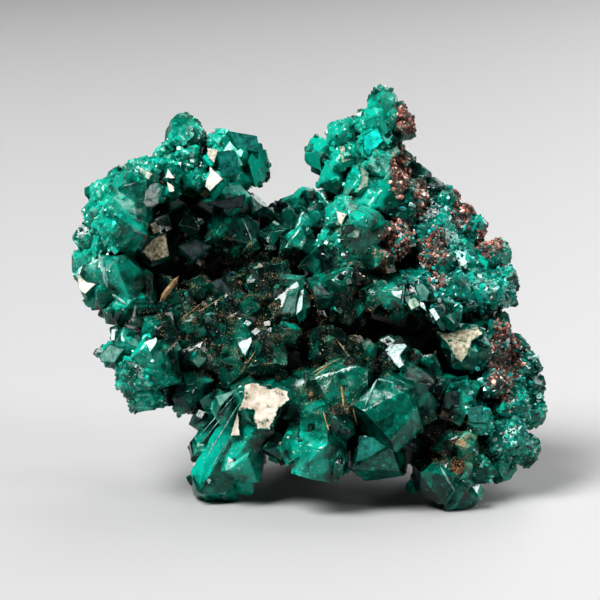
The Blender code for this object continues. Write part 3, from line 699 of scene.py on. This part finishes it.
def mark_finishes_and_painted_light(mesh, tree, ridge, seam):
    """Writes where the stone has painted glow, painted shade, dust, ochre, rust, crust, druse or bare faces.
    """
    points = vertex_vectors(mesh, "co")
    normals = vertex_vectors(mesh, "normal")
    across, up = seen_places(points)
    front = np.clip(normals @ np.array(TOWARDS_CAMERA) * FRONT_SLOPE + FRONT_START, 0, 1)
    back = 1.0 - front
    ragged = noise_at(points, *FRAYING)
    blotch = noise_at(points, *BACK_BLOTCHES)
    openness = openness_at(points, normals, tree)
    closed = 1.0 - openness
    high = np.clip(points[:, 2] / UNIT - LOWEST_GROWTH, 0, 1)

    def inside(patches):
        return soft_patches(across, up, ragged, patches)

    rust = np.maximum(front * inside(RUST_PATCHES), back * (blotch > BACK_RUST_ABOVE))
    crust = np.maximum(front * inside(CRUST_PATCHES), back * (blotch < BACK_CRUST_BELOW))
    druse = np.maximum(front * inside(DRUSE_PATCHES), back * BACK_DRUSE)
    glow = np.maximum(front * inside(PAINTED_GLOW_PATCHES), back * BACK_GLOW)
    ochre = front * inside(OCHRE_PATCHES)
    dust = front * inside(DUST_PATCHES) * np.clip(SHELTER_START + closed, 0, 1)
    dust = np.clip(dust * ((1.0 - SEAM_DUST) + SEAM_DUST * seam), 0, 1)
    bare = front * np.maximum(inside(SMOOTH_PATCHES), rust > BARE_RUST)
    store(mesh, {
        "openness": openness,
        "ridge": ridge,
        "glow": glow + LUMINOUS_GLOW * front * inside(LUMINOUS_PATCHES),
        "rust": rust * high,
        "dust": np.maximum(dust, OCHRE_DUST * ochre),
        "ochre": ochre,
        "crust": crust * high,
        "druse": druse * high,
        "everywhere": high * (1.0 - bare) * (1.0 - RIM_THINNING * front * druse),
        "hollow": high * front * inside(HOLLOW_PATCHES),
    })


def grow_uneven(bm):
    """Gives the flat faces the shallow swells and the edges the small chips of grown crystals."""
    bm.normal_update()
    for vert in bm.verts:
        place = vert.co / UNIT
        swell = noise.noise(place / SWELL_SPAN) * SWELL_HEIGHT
        grain = noise.noise(place / GRAIN_SPAN + GRAIN_SHIFT) * GRAIN_HEIGHT
        if place.z > LOWEST_UNEVEN:
            vert.co += vert.normal * (swell + grain) * UNIT


def crystal_mass(material):
    bm = packed_stone()
    tree = BVHTree.FromBMesh(bm)
    give_faces_a_tone(bm)
    refine(bm)
    ridge, seam = ridges_and_seams(bm)
    grow_uneven(bm)
    obj = object_from("crystal_mass", bm, material)
    obj.data.shade_smooth()
    obj.data.set_sharp_from_angle(angle=SHARP_ANGLE)
    mark_finishes_and_painted_light(obj.data, tree, ridge, seam)
    return obj, tree


# Small shapes that are strewn over the stone

def cut_flat(bm, point, normal):
    """Takes away what lies beyond a plane and closes the cut."""
    geometry = bm.verts[:] + bm.edges[:] + bm.faces[:]
    cut = bmesh.ops.bisect_plane(
        bm, geom=geometry, dist=1e-9, plane_co=point, plane_no=normal, clear_outer=True
    )
    rim = [item for item in cut["geom_cut"] if isinstance(item, bmesh.types.BMEdge)]
    if rim:
        bmesh.ops.edgenet_fill(bm, edges=rim)


def small_crystal(rng, length, blunt):
    """A six-sided crystal of radius 1 with a three-faced end; its foot lies length below the origin."""
    bm = bmesh.new()
    bmesh.ops.create_cube(bm, size=1.0)
    bmesh.ops.scale(bm, vec=(CRYSTAL_BLOCK, CRYSTAL_BLOCK, length * 2), verts=bm.verts)
    for side in range(6):
        turn = math.tau * side / 6
        normal = Vector((math.cos(turn), math.sin(turn), 0))
        cut_flat(bm, normal * rng.uniform(*SIDE_DISTANCE), normal)
    for side in range(END_FACES):
        turn = math.tau * (side + END_TURN) / END_FACES
        normal = Vector((math.cos(turn), math.sin(turn), 0)) * math.sin(END_TILT)
        normal.z = math.cos(END_TILT)
        cut_flat(bm, Vector((0, 0, length * 0.5 + rng.uniform(*END_RISE))), normal)
    if blunt:
        tilt = Vector((rng.uniform(-BLUNT_TILT, BLUNT_TILT), rng.uniform(-BLUNT_TILT, BLUNT_TILT), 1))
        cut_flat(bm, tilt.normalized() * length * 0.5, tilt.normalized())
    bmesh.ops.recalc_face_normals(bm, faces=bm.faces)
    return bm


def strewn_crystal(rng):
    return small_crystal(rng, rng.uniform(*STREWN_LENGTH), rng.random() < BLUNT_SHARE)


def crumb_shape(rng):
    """An angular lump of twenty faces."""
    bm = bmesh.new()
    bmesh.ops.create_icosphere(bm, subdivisions=1, radius=1.0)
    for vert in bm.verts:
        vert.co *= rng.uniform(*CRUMB_RADIUS)
    size = (1.0, rng.uniform(*CRUMB_WIDTH), rng.uniform(*CRUMB_HEIGHT))
    bmesh.ops.scale(bm, vec=size, verts=bm.verts)
    return bm


def shape_collection(name, make, seed):
    """A collection of a few different shapes of one kind, kept out of the scene."""
    collection = bpy.data.collections.new(name)
    rng = random.Random(seed)
    for index in range(SHAPES_OF_A_KIND):
        mesh = mesh_from(f"{name}_{index}", make(rng))
        collection.objects.link(bpy.data.objects.new(mesh.name, mesh))
    return collection


# What makes each shape, and its seed
STREWN_SHAPES = {"crystal": (strewn_crystal, 3), "crumb": (crumb_shape, 4)}


STREWING_INPUTS = {
    "Stone": "Geometry", "Where": "String", "Shapes": "Collection", "Spacing": "Float",
    "Smallest": "Float", "Largest": "Float", "Lean": "Float", "Sink": "Float",
    "Finish": "Material", "Seed": "Int",
}


def random_value(tree, seed, output, inputs=None, kind="FLOAT"):
    given = {"Seed": seed, **(inputs or {})}
    return add_node(tree, "FunctionNodeRandomValue", given, data_type=kind).outputs[output]


def strewing_tree():
    """Strews shapes over a surface where an attribute is high, each turned, sized and sunk by chance."""
    tree = bpy.data.node_groups.new("strew_over_stone", "GeometryNodeTree")
    for name, kind in STREWING_INPUTS.items():
        tree.interface.new_socket(name=name, in_out="INPUT", socket_type="NodeSocket" + kind)
    tree.interface.new_socket(name="Pieces", in_out="OUTPUT", socket_type="NodeSocketGeometry")
    given = add_node(tree, "NodeGroupInput").outputs
    where = add_node(tree, "GeometryNodeInputNamedAttribute", {"Name": given["Where"]})
    crowding = {0: CROWDING, 1: given["Spacing"]}
    closest = add_node(tree, "ShaderNodeMath", crowding, operation="DIVIDE").outputs[0]
    points = add_node(tree, "GeometryNodeDistributePointsOnFaces", distribute_method="POISSON")
    feed(tree, points, {
        "Mesh": given["Stone"],
        "Distance Min": given["Spacing"],
        "Density Max": times(closest, closest),
        "Density Factor": where.outputs["Attribute"],
        "Seed": given["Seed"],
    })
    skewed = math_node(random_value(tree, given["Seed"], 1), "POWER", SIZE_SKEW)
    size = ranged(skewed, 0, 1, given["Smallest"], given["Largest"])
    depth = times(times(size, given["Sink"]), -1.0)
    inwards = vector_node(tree, "SCALE", {0: points.outputs["Normal"], "Scale": depth})
    moved = {"Geometry": points.outputs["Points"], "Offset": inwards}
    sunk = add_node(tree, "GeometryNodeSetPosition", moved)
    backwards = times(given["Lean"], -1.0)
    least = add_node(tree, "ShaderNodeCombineXYZ", {"X": backwards, "Y": backwards, "Z": -math.pi})
    greatest = add_node(tree, "ShaderNodeCombineXYZ", {"X": given["Lean"], "Y": given["Lean"], "Z": math.pi})
    limits = {0: least.outputs[0], 1: greatest.outputs[0]}
    angles = random_value(tree, given["Seed"], 0, limits, "FLOAT_VECTOR")
    turn = add_node(tree, "FunctionNodeEulerToRotation", {"Euler": angles}).outputs[0]
    turns = {"Rotation": points.outputs["Rotation"], "Rotate By": turn}
    turned = add_node(tree, "FunctionNodeRotateRotation", turns, rotation_space="LOCAL")
    kinds = {"Collection": given["Shapes"], "Separate Children": True, "Reset Children": True}
    strewn = add_node(tree, "GeometryNodeInstanceOnPoints", {
        "Points": sunk.outputs[0],
        "Instance": add_node(tree, "GeometryNodeCollectionInfo", kinds).outputs[0],
        "Pick Instance": True,
        "Rotation": turned.outputs[0],
        "Scale": size,
    })
    chance = add_node(tree, "GeometryNodeStoreNamedAttribute", domain="INSTANCE")
    another = random_value(tree, plus(given["Seed"], CHANCE_SEED_STEP), 1)
    feed(tree, chance, {"Geometry": strewn.outputs[0], "Name": "chance", "Value": another})
    whole = add_node(tree, "GeometryNodeRealizeInstances", {"Geometry": chance.outputs[0]})
    finish = {"Geometry": whole.outputs[0], "Material": given["Finish"]}
    finished = add_node(tree, "GeometryNodeSetMaterial", finish)
    add_node(tree, "NodeGroupOutput", {"Pieces": finished.outputs[0]})
    return tree


def strew(tree, stone, name, inputs):
    """One plain mesh of all the shapes that the tree strews over the stone."""
    holder = shown_object(name, stone.data)
    modifier = holder.modifiers.new(name, "NODES")
    modifier.node_group = tree
    keys = {item.name: item.identifier for item in tree.interface.items_tree if item.in_out == "INPUT"}
    for key, value in inputs.items():
        modifier[keys[key]] = value
    bpy.context.view_layer.update()
    graph = bpy.context.evaluated_depsgraph_get()
    mesh = bpy.data.meshes.new_from_object(holder.evaluated_get(graph))
    bpy.data.objects.remove(holder)
    mesh.name = name
    return shown_object(name, mesh)


# Flat faces that flash or carry a film, each drawn by its corners in the photograph's frame

GOLDEN_FACES = {
    "upper left triangle": [(207, 148), (218, 150), (214, 163), (208, 156)],
    "upper left kite": [(210, 166), (223, 179), (210, 191), (205, 187), (208, 176)],
    "kite tail": [(199, 194), (205, 188), (210, 194), (205, 199)],
    "small sail": [(168, 168), (175, 178), (165, 178)],
    "small sail below": [(167, 181), (174, 187), (174, 191), (169, 192)],
    "left margin": [(76, 274), (80, 275), (87, 282), (96, 284), (85, 294), (80, 291)],
    "brow of the middle wall": [(336, 211), (347, 214), (341, 226), (338, 221)],
    "middle crystal end": [(287, 294), (299, 277), (315, 276), (313, 282), (301, 286)],
}
SILVER_FACES = {
    "speck by the kite": [(179, 162), (182, 162), (181, 167), (178, 164)],
    "peak speck": [(355, 114), (362, 111), (361, 117), (356, 117)],
    "middle crystal edge": [(299, 292), (304, 289), (302, 309), (296, 315)],
    "ledge": [(391, 291), (402, 290), (401, 299), (394, 296)],
    "ledge tail": [(420, 301), (424, 303), (426, 311), (419, 305)],
    "square": [(429, 310), (434, 308), (440, 318), (436, 321)],
    "lower left bar": [(112, 329), (116, 330), (114, 341), (111, 340)],
    "lower left patch": [(145, 342), (156, 337), (157, 341), (150, 352)],
    "striped fan": [(238, 343), (251, 337), (252, 341), (245, 356), (242, 352)],
    "front flash": [(385, 350), (400, 338), (407, 346), (400, 355), (404, 365), (399, 368), (393, 361)],
    "right foot flash": [(472, 487), (480, 484), (477, 494)],
}
PALE_FACES = {
    "lower left end": [(99, 355), (110, 344), (125, 349), (114, 363), (101, 362)],
    "middle crystal face": [(281, 312), (287, 296), (299, 290), (296, 312), (290, 318), (282, 319)],
    "hex end": [(197, 355), (207, 358), (199, 368), (192, 361)],
    "ledge face": [(415, 285), (423, 283), (430, 292), (427, 301), (420, 301), (417, 292)],
    "left foot triangle": [(215, 396), (237, 389), (220, 407)],
}
CREAM_FACES = {
    "left foot film": [
        (244, 384), (254, 382), (264, 385), (270, 389), (278, 386), (288, 391), (290, 400), (279, 408),
        (275, 418), (270, 430), (257, 430), (253, 418), (255, 411), (247, 409), (238, 411), (243, 397),
    ],
    "left foot strip": [(238, 411), (240, 436), (230, 436), (234, 422)],
}
MILKY_FACES = {
    "peak shoulder": [(339, 146), (344, 145), (346, 155), (351, 160), (341, 163)],
    "peak crescent": [(360, 165), (369, 173), (368, 186), (356, 193), (361, 180)],
    "upper rim patch": [(139, 166), (153, 174), (149, 180), (140, 173)],
    "brow of the wall": [(346, 226), (356, 224), (362, 229), (358, 238), (347, 237)],
    "peak foot": [(383, 150), (393, 149), (396, 156), (388, 160)],
    "ledge scale": [(405, 300), (415, 297), (420, 305), (411, 310)],
}
BRONZE_FACES = {
    "left inner face": [(140, 252), (154, 237), (166, 233), (170, 256), (152, 262)],
    "left inner top": [(150, 224), (156, 222), (160, 232), (153, 235)],
}
PLATE_FACES = {
    "tan plate": [
        (436, 331), (448, 333), (462, 329), (478, 326), (483, 334), (472, 341), (470, 352), (462, 363),
        (455, 358), (446, 343),
    ],
}
GREY_FACES = {
    "hollow roof": [(175, 205), (186, 206), (186, 216), (176, 218)],
    "hollow roof right": [(205, 202), (245, 195), (243, 208), (224, 209)],
    "hollow wall": [(178, 246), (196, 239), (212, 246), (193, 261)],
    "hollow plate": [(210, 282), (221, 278), (237, 296), (231, 302)],
    "brow stripes": [(341, 226), (360, 224), (353, 231), (341, 236)],
    "right hollow face": [(445, 393), (457, 390), (459, 404), (442, 409)],
}
TURQUOISE_FACES = {
    "peak window": [(363, 135), (378, 127), (384, 141), (376, 148), (369, 156), (363, 150)],
}
TEAL_FACES = {
    "front low window": [(359, 436), (373, 437), (386, 446), (372, 456), (356, 462)],
    "right lobe window": [(467, 408), (482, 405), (492, 412), (487, 423), (470, 422)],
    "upper left window": [(217, 152), (234, 150), (238, 159), (237, 174), (221, 177)],
    "upper left roof": [(228, 131), (257, 136), (259, 152), (238, 149)],
}
# Thin needles and strips lying on the crystals: from one pixel to another, and the width in mm
TAN_NEEDLES = [
    ((160, 301), (179, 276), 0.6), ((179, 321), (203, 302), 0.1), ((193, 315), (223, 297), 0.09),
    ((242, 372), (256, 350), 0.12), ((306, 383), (330, 364), 0.1), ((310, 374), (341, 358), 0.14),
    ((341, 380), (344, 407), 0.22), ((353, 408), (358, 427), 0.18), ((337, 340), (349, 356), 0.14),
    ((323, 411), (329, 431), 0.14),
]
PALE_STRIPS = [
    ((99, 253), (108, 288), 0.5), ((112, 294), (127, 305), 0.3), ((365, 406), (377, 379), 0.3),
    ((377, 379), (394, 383), 0.26), ((440, 466), (455, 492), 0.24), ((205, 460), (240, 402), 0.14),
    ((196, 440), (235, 395), 0.12), ((199, 446), (236, 399), 0.1), ((211, 468), (237, 426), 0.12),
    ((285, 318), (297, 292), 0.2),
]
NEEDLE_SHARES = (0.2, 0.4, 0.6, 0.8)
NEEDLE_SLANT = 2.0
# Crystals that close the gap behind the hollow and the larger one on the right: place, pointing way and
# radius, in mm in the part's frame
GAP_CRYSTALS = [
    ((-16.2, 5, 16.4), (0.15, -0.3, 1), 1.7),
    ((-14.2, 5.7, 15.9), (-0.2, -0.15, 1), 1.9),
    ((-12.2, 5.6, 16.3), (0.15, -0.25, 1), 2),
    ((-10.2, 4.9, 17.2), (0.25, -0.2, 1), 1.7),
    ((-15.2, 3.8, 17.4), (-0.35, -0.3, 1), 1.1),
    ((-11.2, 3.9, 18.2), (0.3, -0.4, 1), 1),
    ((11.4, 0.4, 8), (-0.15, -0.4, 1), 1.7),
    ((13.3, 1.4, 7.8), (0.1, -0.2, 1), 1.8),
    ((15.4, 2.3, 8.2), (0.25, -0.1, 1), 1.9),
]
# Pointed crystals at the top of the peak, brightened by painted glow
PEAK_CRYSTALS = [
    ((8.3, 8, 39.6), (0.03, -0.04, 1), 1.15),
    ((7.6, 6, 38.1), (-0.25, -0.2, 1), 0.95),
    ((9, 7.7, 38.4), (0.2, -0.25, 1), 0.85),
]
CRYSTAL_LENGTH = 3.2
FOOT_DEPTH = 1.1
# Planted faces: the wander of their outlines in pixels and where it is taken, and how they stand, in mm
OUTLINE_WANDER = 0.6
WANDER_PLACES = (0.35, 0.7)
FACE_TURN = 0.6
FACE_CLEARANCE = 0.1
FACE_HIGHEST = 1.1
FACE_SPREAD = math.radians(4.0)
FACE_DEPTH = 1.6
FACE_SWELL = 1.12
# Marks on the planted crystals: full openness, so no painted shade, and a little painted glow
FACE_MARKS = {"openness": 1.0, "glow": 0.3, "chance": 0.5}
FILM_RIM = 0.3
FILM_RIM_SHARE = 0.13

# Strewn shapes: name, the mark that says where, shape, finish, seed, then spacing, smallest and largest
# radius in mm, lean and share sunk in
STREWN = (
    ("young_crystals", "everywhere", "crystal", "dioptase_young", 1, (2.0, 0.35, 0.95), 0.75, 0.35),
    ("hollow_crystals", "hollow", "crystal", "dioptase_young", 6, (1.35, 0.5, 1.35), 0.8, 0.45),
    ("druse", "druse", "crystal", "dioptase_druse", 2, (0.46, 0.13, 0.38), 1.0, 0.3),
    ("blue_green_grains", "crust", "crystal", "crust", 3, (0.42, 0.11, 0.3), 1.1, 0.2),
    ("red_brown_grains", "rust", "crumb", "crumbs", 4, (0.3, 0.17, 0.42), 1.2, 0.0),
    ("dust_grains", "dust", "crumb", "dust", 5, (0.36, 0.035, 0.12), 1.2, 0.0),
)
# Planted faces: name, outlines, whether they throw the key light to the camera, film and seed
PLANTED = (
    ("golden_faces", GOLDEN_FACES, True, "golden_flash", 31),
    ("silver_faces", SILVER_FACES, True, "silver_flash", 36),
    ("pale_faces", PALE_FACES, False, "pale_haze", 37),
    ("filmed_faces", CREAM_FACES, False, "cream_film", 32),
    ("milky_faces", MILKY_FACES, False, "milky_face", 40),
    ("tan_plates", PLATE_FACES, False, "tan_plate", 38),
    ("bronze_faces", BRONZE_FACES, False, "bronze_face", 39),
    ("grey_faces", GREY_FACES, False, "grey_face", 33),
    ("turquoise_faces", TURQUOISE_FACES, False, "turquoise_face", 34),
    ("teal_faces", TEAL_FACES, False, "teal_face", 35),
)
# Single crystals: name, places, marks (openness and hollow paint shade, glow paints light), share with blunt
# ends and seed
GROWN = (
    ("gap_crystals", GAP_CRYSTALS, {"openness": 0.55, "hollow": 0.5, "dust": 0.4}, 0.5, 8),
    ("peak_crystals", PEAK_CRYSTALS, {"openness": 1.0, "glow": 1.4}, 0.0, 9),
)
NEEDLES = (
    ("tan_needles", TAN_NEEDLES, "tan_fibre", "matrix"),
    ("pale_strips", PALE_STRIPS, "pale_strip", "dioptase"),
)


def flash_normal(centre, rng):
    """The normal that throws the key light to the camera, give or take a few degrees."""
    to_camera = (CAMERA_PLACE - centre).normalized()
    to_light = (LIT_PLACE + KEY_LIGHT * LIGHT_DISTANCE - centre).normalized()
    normal = (to_camera + to_light).normalized()
    for axis in ("X", "Z"):
        normal.rotate(Matrix.Rotation(rng.uniform(-FACE_SPREAD, FACE_SPREAD), 3, axis))
    return normal


def sight_hit(tree, pixel):
    return tree.ray_cast(CAMERA_PLACE, sight_line(pixel), SIGHT_LIMIT)


def sight_meets(pixel, point, normal):
    """Where the line of sight through a pixel meets a plane."""
    way = sight_line(pixel)
    return CAMERA_PLACE + way * ((point - CAMERA_PLACE).dot(normal) / way.dot(normal))


def plant_face(bm, corners, tree, flashing, rng):
    """A crystal whose flat end shows the given corners, just clear of the stone; gives its sides."""
    middle = tuple(sum(values) / len(corners) for values in zip(*corners))
    place, own_normal = sight_hit(tree, middle)[:2]
    if place is None:
        return []
    normal = flash_normal(place, rng)
    if not flashing:
        normal = (own_normal + FACE_TURN * TOWARDS_CAMERA).normalized()
    inner = [tuple(0.5 * (a + b) for a, b in zip(corner, middle)) for corner in corners]
    hits = [sight_hit(tree, pixel)[0] for pixel in corners + inner]
    level = place.dot(normal)
    highest = max(hit.dot(normal) for hit in hits + [place] if hit is not None)
    level = min(highest, level + FACE_HIGHEST * UNIT) + FACE_CLEARANCE * UNIT
    anchor = place + normal * (level - place.dot(normal))
    front = [bm.verts.new(sight_meets(pixel, anchor, normal)) for pixel in corners]
    centre = sum((vert.co for vert in front), Vector()) / len(front)
    sink = normal * FACE_DEPTH * UNIT
    back = [bm.verts.new(centre + (vert.co - centre) * FACE_SWELL - sink) for vert in front]
    end = bm.faces.new(front)
    sides = [bm.faces.new(list(reversed(back)))]
    for index in range(len(front)):
        after = (index + 1) % len(front)
        sides.append(bm.faces.new((front[after], front[index], back[index], back[after])))
    bm.normal_update()
    rim = min(FILM_RIM * UNIT, FILM_RIM_SHARE * math.sqrt(end.calc_area()))
    bmesh.ops.inset_individual(bm, faces=[end], thickness=rim, use_even_offset=False)
    for vert in end.verts:
        vert[bm.verts.layers.float["inner"]] = 1.0
    return sides


def worn_outline(corners, rng):
    """The outline with two more points on each side, a little off the straight line."""
    outline = []
    for start, end in zip(corners, corners[1:] + corners[:1]):
        along = Vector(end) - Vector(start)
        aside = Vector((-along.y, along.x)).normalized()
        outline.append(start)
        for share in WANDER_PLACES:
            point = Vector(start) + along * share + aside * rng.uniform(-OUTLINE_WANDER, OUTLINE_WANDER)
            outline.append((point.x, point.y))
    return outline


def planted_faces(name, outlines, tree, flashing, end_material, side_material, seed):
    bm = bmesh.new()
    bm.verts.layers.float.new("inner")
    rng = random.Random(seed)
    for corners in outlines.values():
        for side in plant_face(bm, worn_outline(corners, rng), tree, flashing, rng):
            side.material_index = 1
    bmesh.ops.recalc_face_normals(bm, faces=bm.faces)
    obj = object_from(name, bm, end_material, side_material)
    store(obj.data, FACE_MARKS)
    return obj


def not_far_behind(place, other, pixel):
    """The place, brought forwards on its line of sight where it lies far behind the other."""
    nearest_plane = other - TOWARDS_CAMERA * NEEDLE_SLANT * UNIT
    if (nearest_plane - place).dot(TOWARDS_CAMERA) <= 0:
        return place
    return sight_meets(pixel, nearest_plane, TOWARDS_CAMERA)


def plant_needle(bm, start, end, width, tree):
    """A needle pointed at both ends, lying over the stone from one seen place to another."""
    first, last = (sight_hit(tree, pixel)[0] for pixel in (start, end))
    if first is None or last is None:
        return
    first = not_far_behind(first, last, start)
    last = not_far_behind(last, first, end)
    lift = TOWARDS_CAMERA * width * 0.5 * UNIT
    side = (last - first).cross(TOWARDS_CAMERA).normalized() * width * 0.5 * UNIT
    rings = []
    for share in NEEDLE_SHARES:
        place = first.lerp(last, share)
        under = sight_hit(tree, Vector(start).lerp(Vector(end), share))[0]
        if under is not None and (under - place).dot(TOWARDS_CAMERA) > 0:
            place = under
        middle = place + lift
        rings.append([bm.verts.new(middle + way) for way in (side, lift, -side, -lift)])
    tips = [bm.verts.new(first + lift), bm.verts.new(last + lift)]
    for before, after in zip(rings, rings[1:]):
        for index in range(4):
            bm.faces.new((before[index], before[index - 1], after[index - 1], after[index]))
    for index in range(4):
        bm.faces.new((tips[0], rings[0][index], rings[0][index - 1]))
        bm.faces.new((tips[1], rings[-1][index - 1], rings[-1][index]))


def grown_crystals(name, places, marks, material, blunt_share, seed):
    """Single crystals, each at its own place, pointing its own way."""
    rng = random.Random(seed)
    bm = bmesh.new()
    tones = []
    for foot, way, radius in places:
        crystal = small_crystal(rng, CRYSTAL_LENGTH, rng.random() < blunt_share)
        cut_flat(crystal, Vector((0, 0, -FOOT_DEPTH)), Vector((0, 0, -1)))
        bmesh.ops.recalc_face_normals(crystal, faces=crystal.faces)
        turn = Vector(way).to_track_quat("Z", "Y").to_matrix().to_4x4()
        place = Matrix.Translation(Vector(foot) * UNIT) @ turn @ Matrix.Scale(radius * UNIT, 4)
        crystal.transform(place)
        mesh = mesh_from(name, crystal)
        bm.from_mesh(mesh)
        tones += [rng.random()] * len(mesh.vertices)
        bpy.data.meshes.remove(mesh)
    obj = object_from(name, bm, material)
    store(obj.data, {"chance": tones, **marks})
    return obj


def planted_needles(name, needles, tree, material):
    bm = bmesh.new()
    for start, end, width in needles:
        plant_needle(bm, start, end, width, tree)
    bmesh.ops.recalc_face_normals(bm, faces=bm.faces)
    return object_from(name, bm, material)


# Stage

def plain_floor():
    material, tree, shader = new_material("pale_floor")
    feed(tree, shader, {"Base Color": FLOOR_GREY, "Roughness": FLOOR_ROUGHNESS})
    bm = bmesh.new()
    bmesh.ops.create_grid(bm, x_segments=1, y_segments=1, size=FLOOR_SIDE / 2)
    floor = object_from("floor", bm, material)


def place_facing(obj, place, way):
    """Places a lamp or camera so that it looks against a direction."""
    obj.location = place
    obj.rotation_mode = "QUATERNION"
    obj.rotation_quaternion = way.to_track_quat("Z", "Y")


def soft_light(name, direction, side, power):
    lamp = bpy.data.lights.new(name, "AREA")
    lamp.size = side
    lamp.energy = power
    way = face_direction(*direction)
    place_facing(shown_object(name, lamp), LIT_PLACE + way * LIGHT_DISTANCE, way)


def sky():
    world = bpy.data.worlds.new("studio")
    world.use_nodes = True
    world.node_tree.nodes["Background"].inputs["Color"].default_value = SKY_GREY
    bpy.context.scene.world = world


def camera():
    data = bpy.data.cameras.new("camera")
    data.lens = LENS
    data.sensor_width = SENSOR
    data.clip_start = CLIP_START
    obj = shown_object("camera", data)
    place_facing(obj, CAMERA_PLACE, TOWARDS_CAMERA)
    bpy.context.scene.camera = obj


def keep_on_floor(mesh):
    """Moves what reaches under the surface that the specimen stands on up to it."""
    places = vertex_vectors(mesh, "co")
    places[:, 2] = np.maximum(places[:, 2], 0.0)
    mesh.vertices.foreach_set("co", places.ravel())
    mesh.update()


def finish_piece(piece):
    keep_on_floor(piece.data)
    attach(piece, BODY)


def build():
    finishes = {"crumbs": crumb_material(), "crust": crust_material(), "dust": dust_material()}
    for name, look in STONES.items():
        finishes[name] = stone_material(name, *look)
    for name, look in FILMS.items():
        finishes[name] = film_material(name, *look)
    young = finishes["dioptase_young"]
    mass, tree = crystal_mass(finishes["dioptase_stone"])
    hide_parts(STONE_NODE)
    finish_piece(mass)

    shapes = {}
    for shape, (make, seed) in STREWN_SHAPES.items():
        shapes[shape] = shape_collection(shape + "_shape", make, seed)
    strewing = strewing_tree()
    for name, where, shape, finish, seed, sizes, lean, sink in STREWN:
        inputs = {"Where": where, "Shapes": shapes[shape], "Lean": lean, "Sink": sink}
        inputs.update({"Finish": finishes[finish], "Seed": seed})
        for key, size in zip(("Spacing", "Smallest", "Largest"), sizes):
            inputs[key] = size * UNIT
        finish_piece(strew(strewing, mass, name, inputs))
    for name, outlines, flashing, film, seed in PLANTED:
        piece = planted_faces(name, outlines, tree, flashing, finishes[film], young, seed)
        finish_piece(piece)
    for name, places, marks, blunt_share, seed in GROWN:
        finish_piece(grown_crystals(name, places, marks, young, blunt_share, seed))
    for name, needles, film, slot in NEEDLES:
        finish_piece(planted_needles(name, needles, tree, finishes[film]))


def main():
    bpy.context.scene.view_settings.view_transform = "Standard"
    bpy.context.scene.view_settings.look = "Medium High Contrast"
    camera()
    plain_floor()
    sky()
    for name, light in LIGHTS.items():
        soft_light(name, *light)
    build()


main()
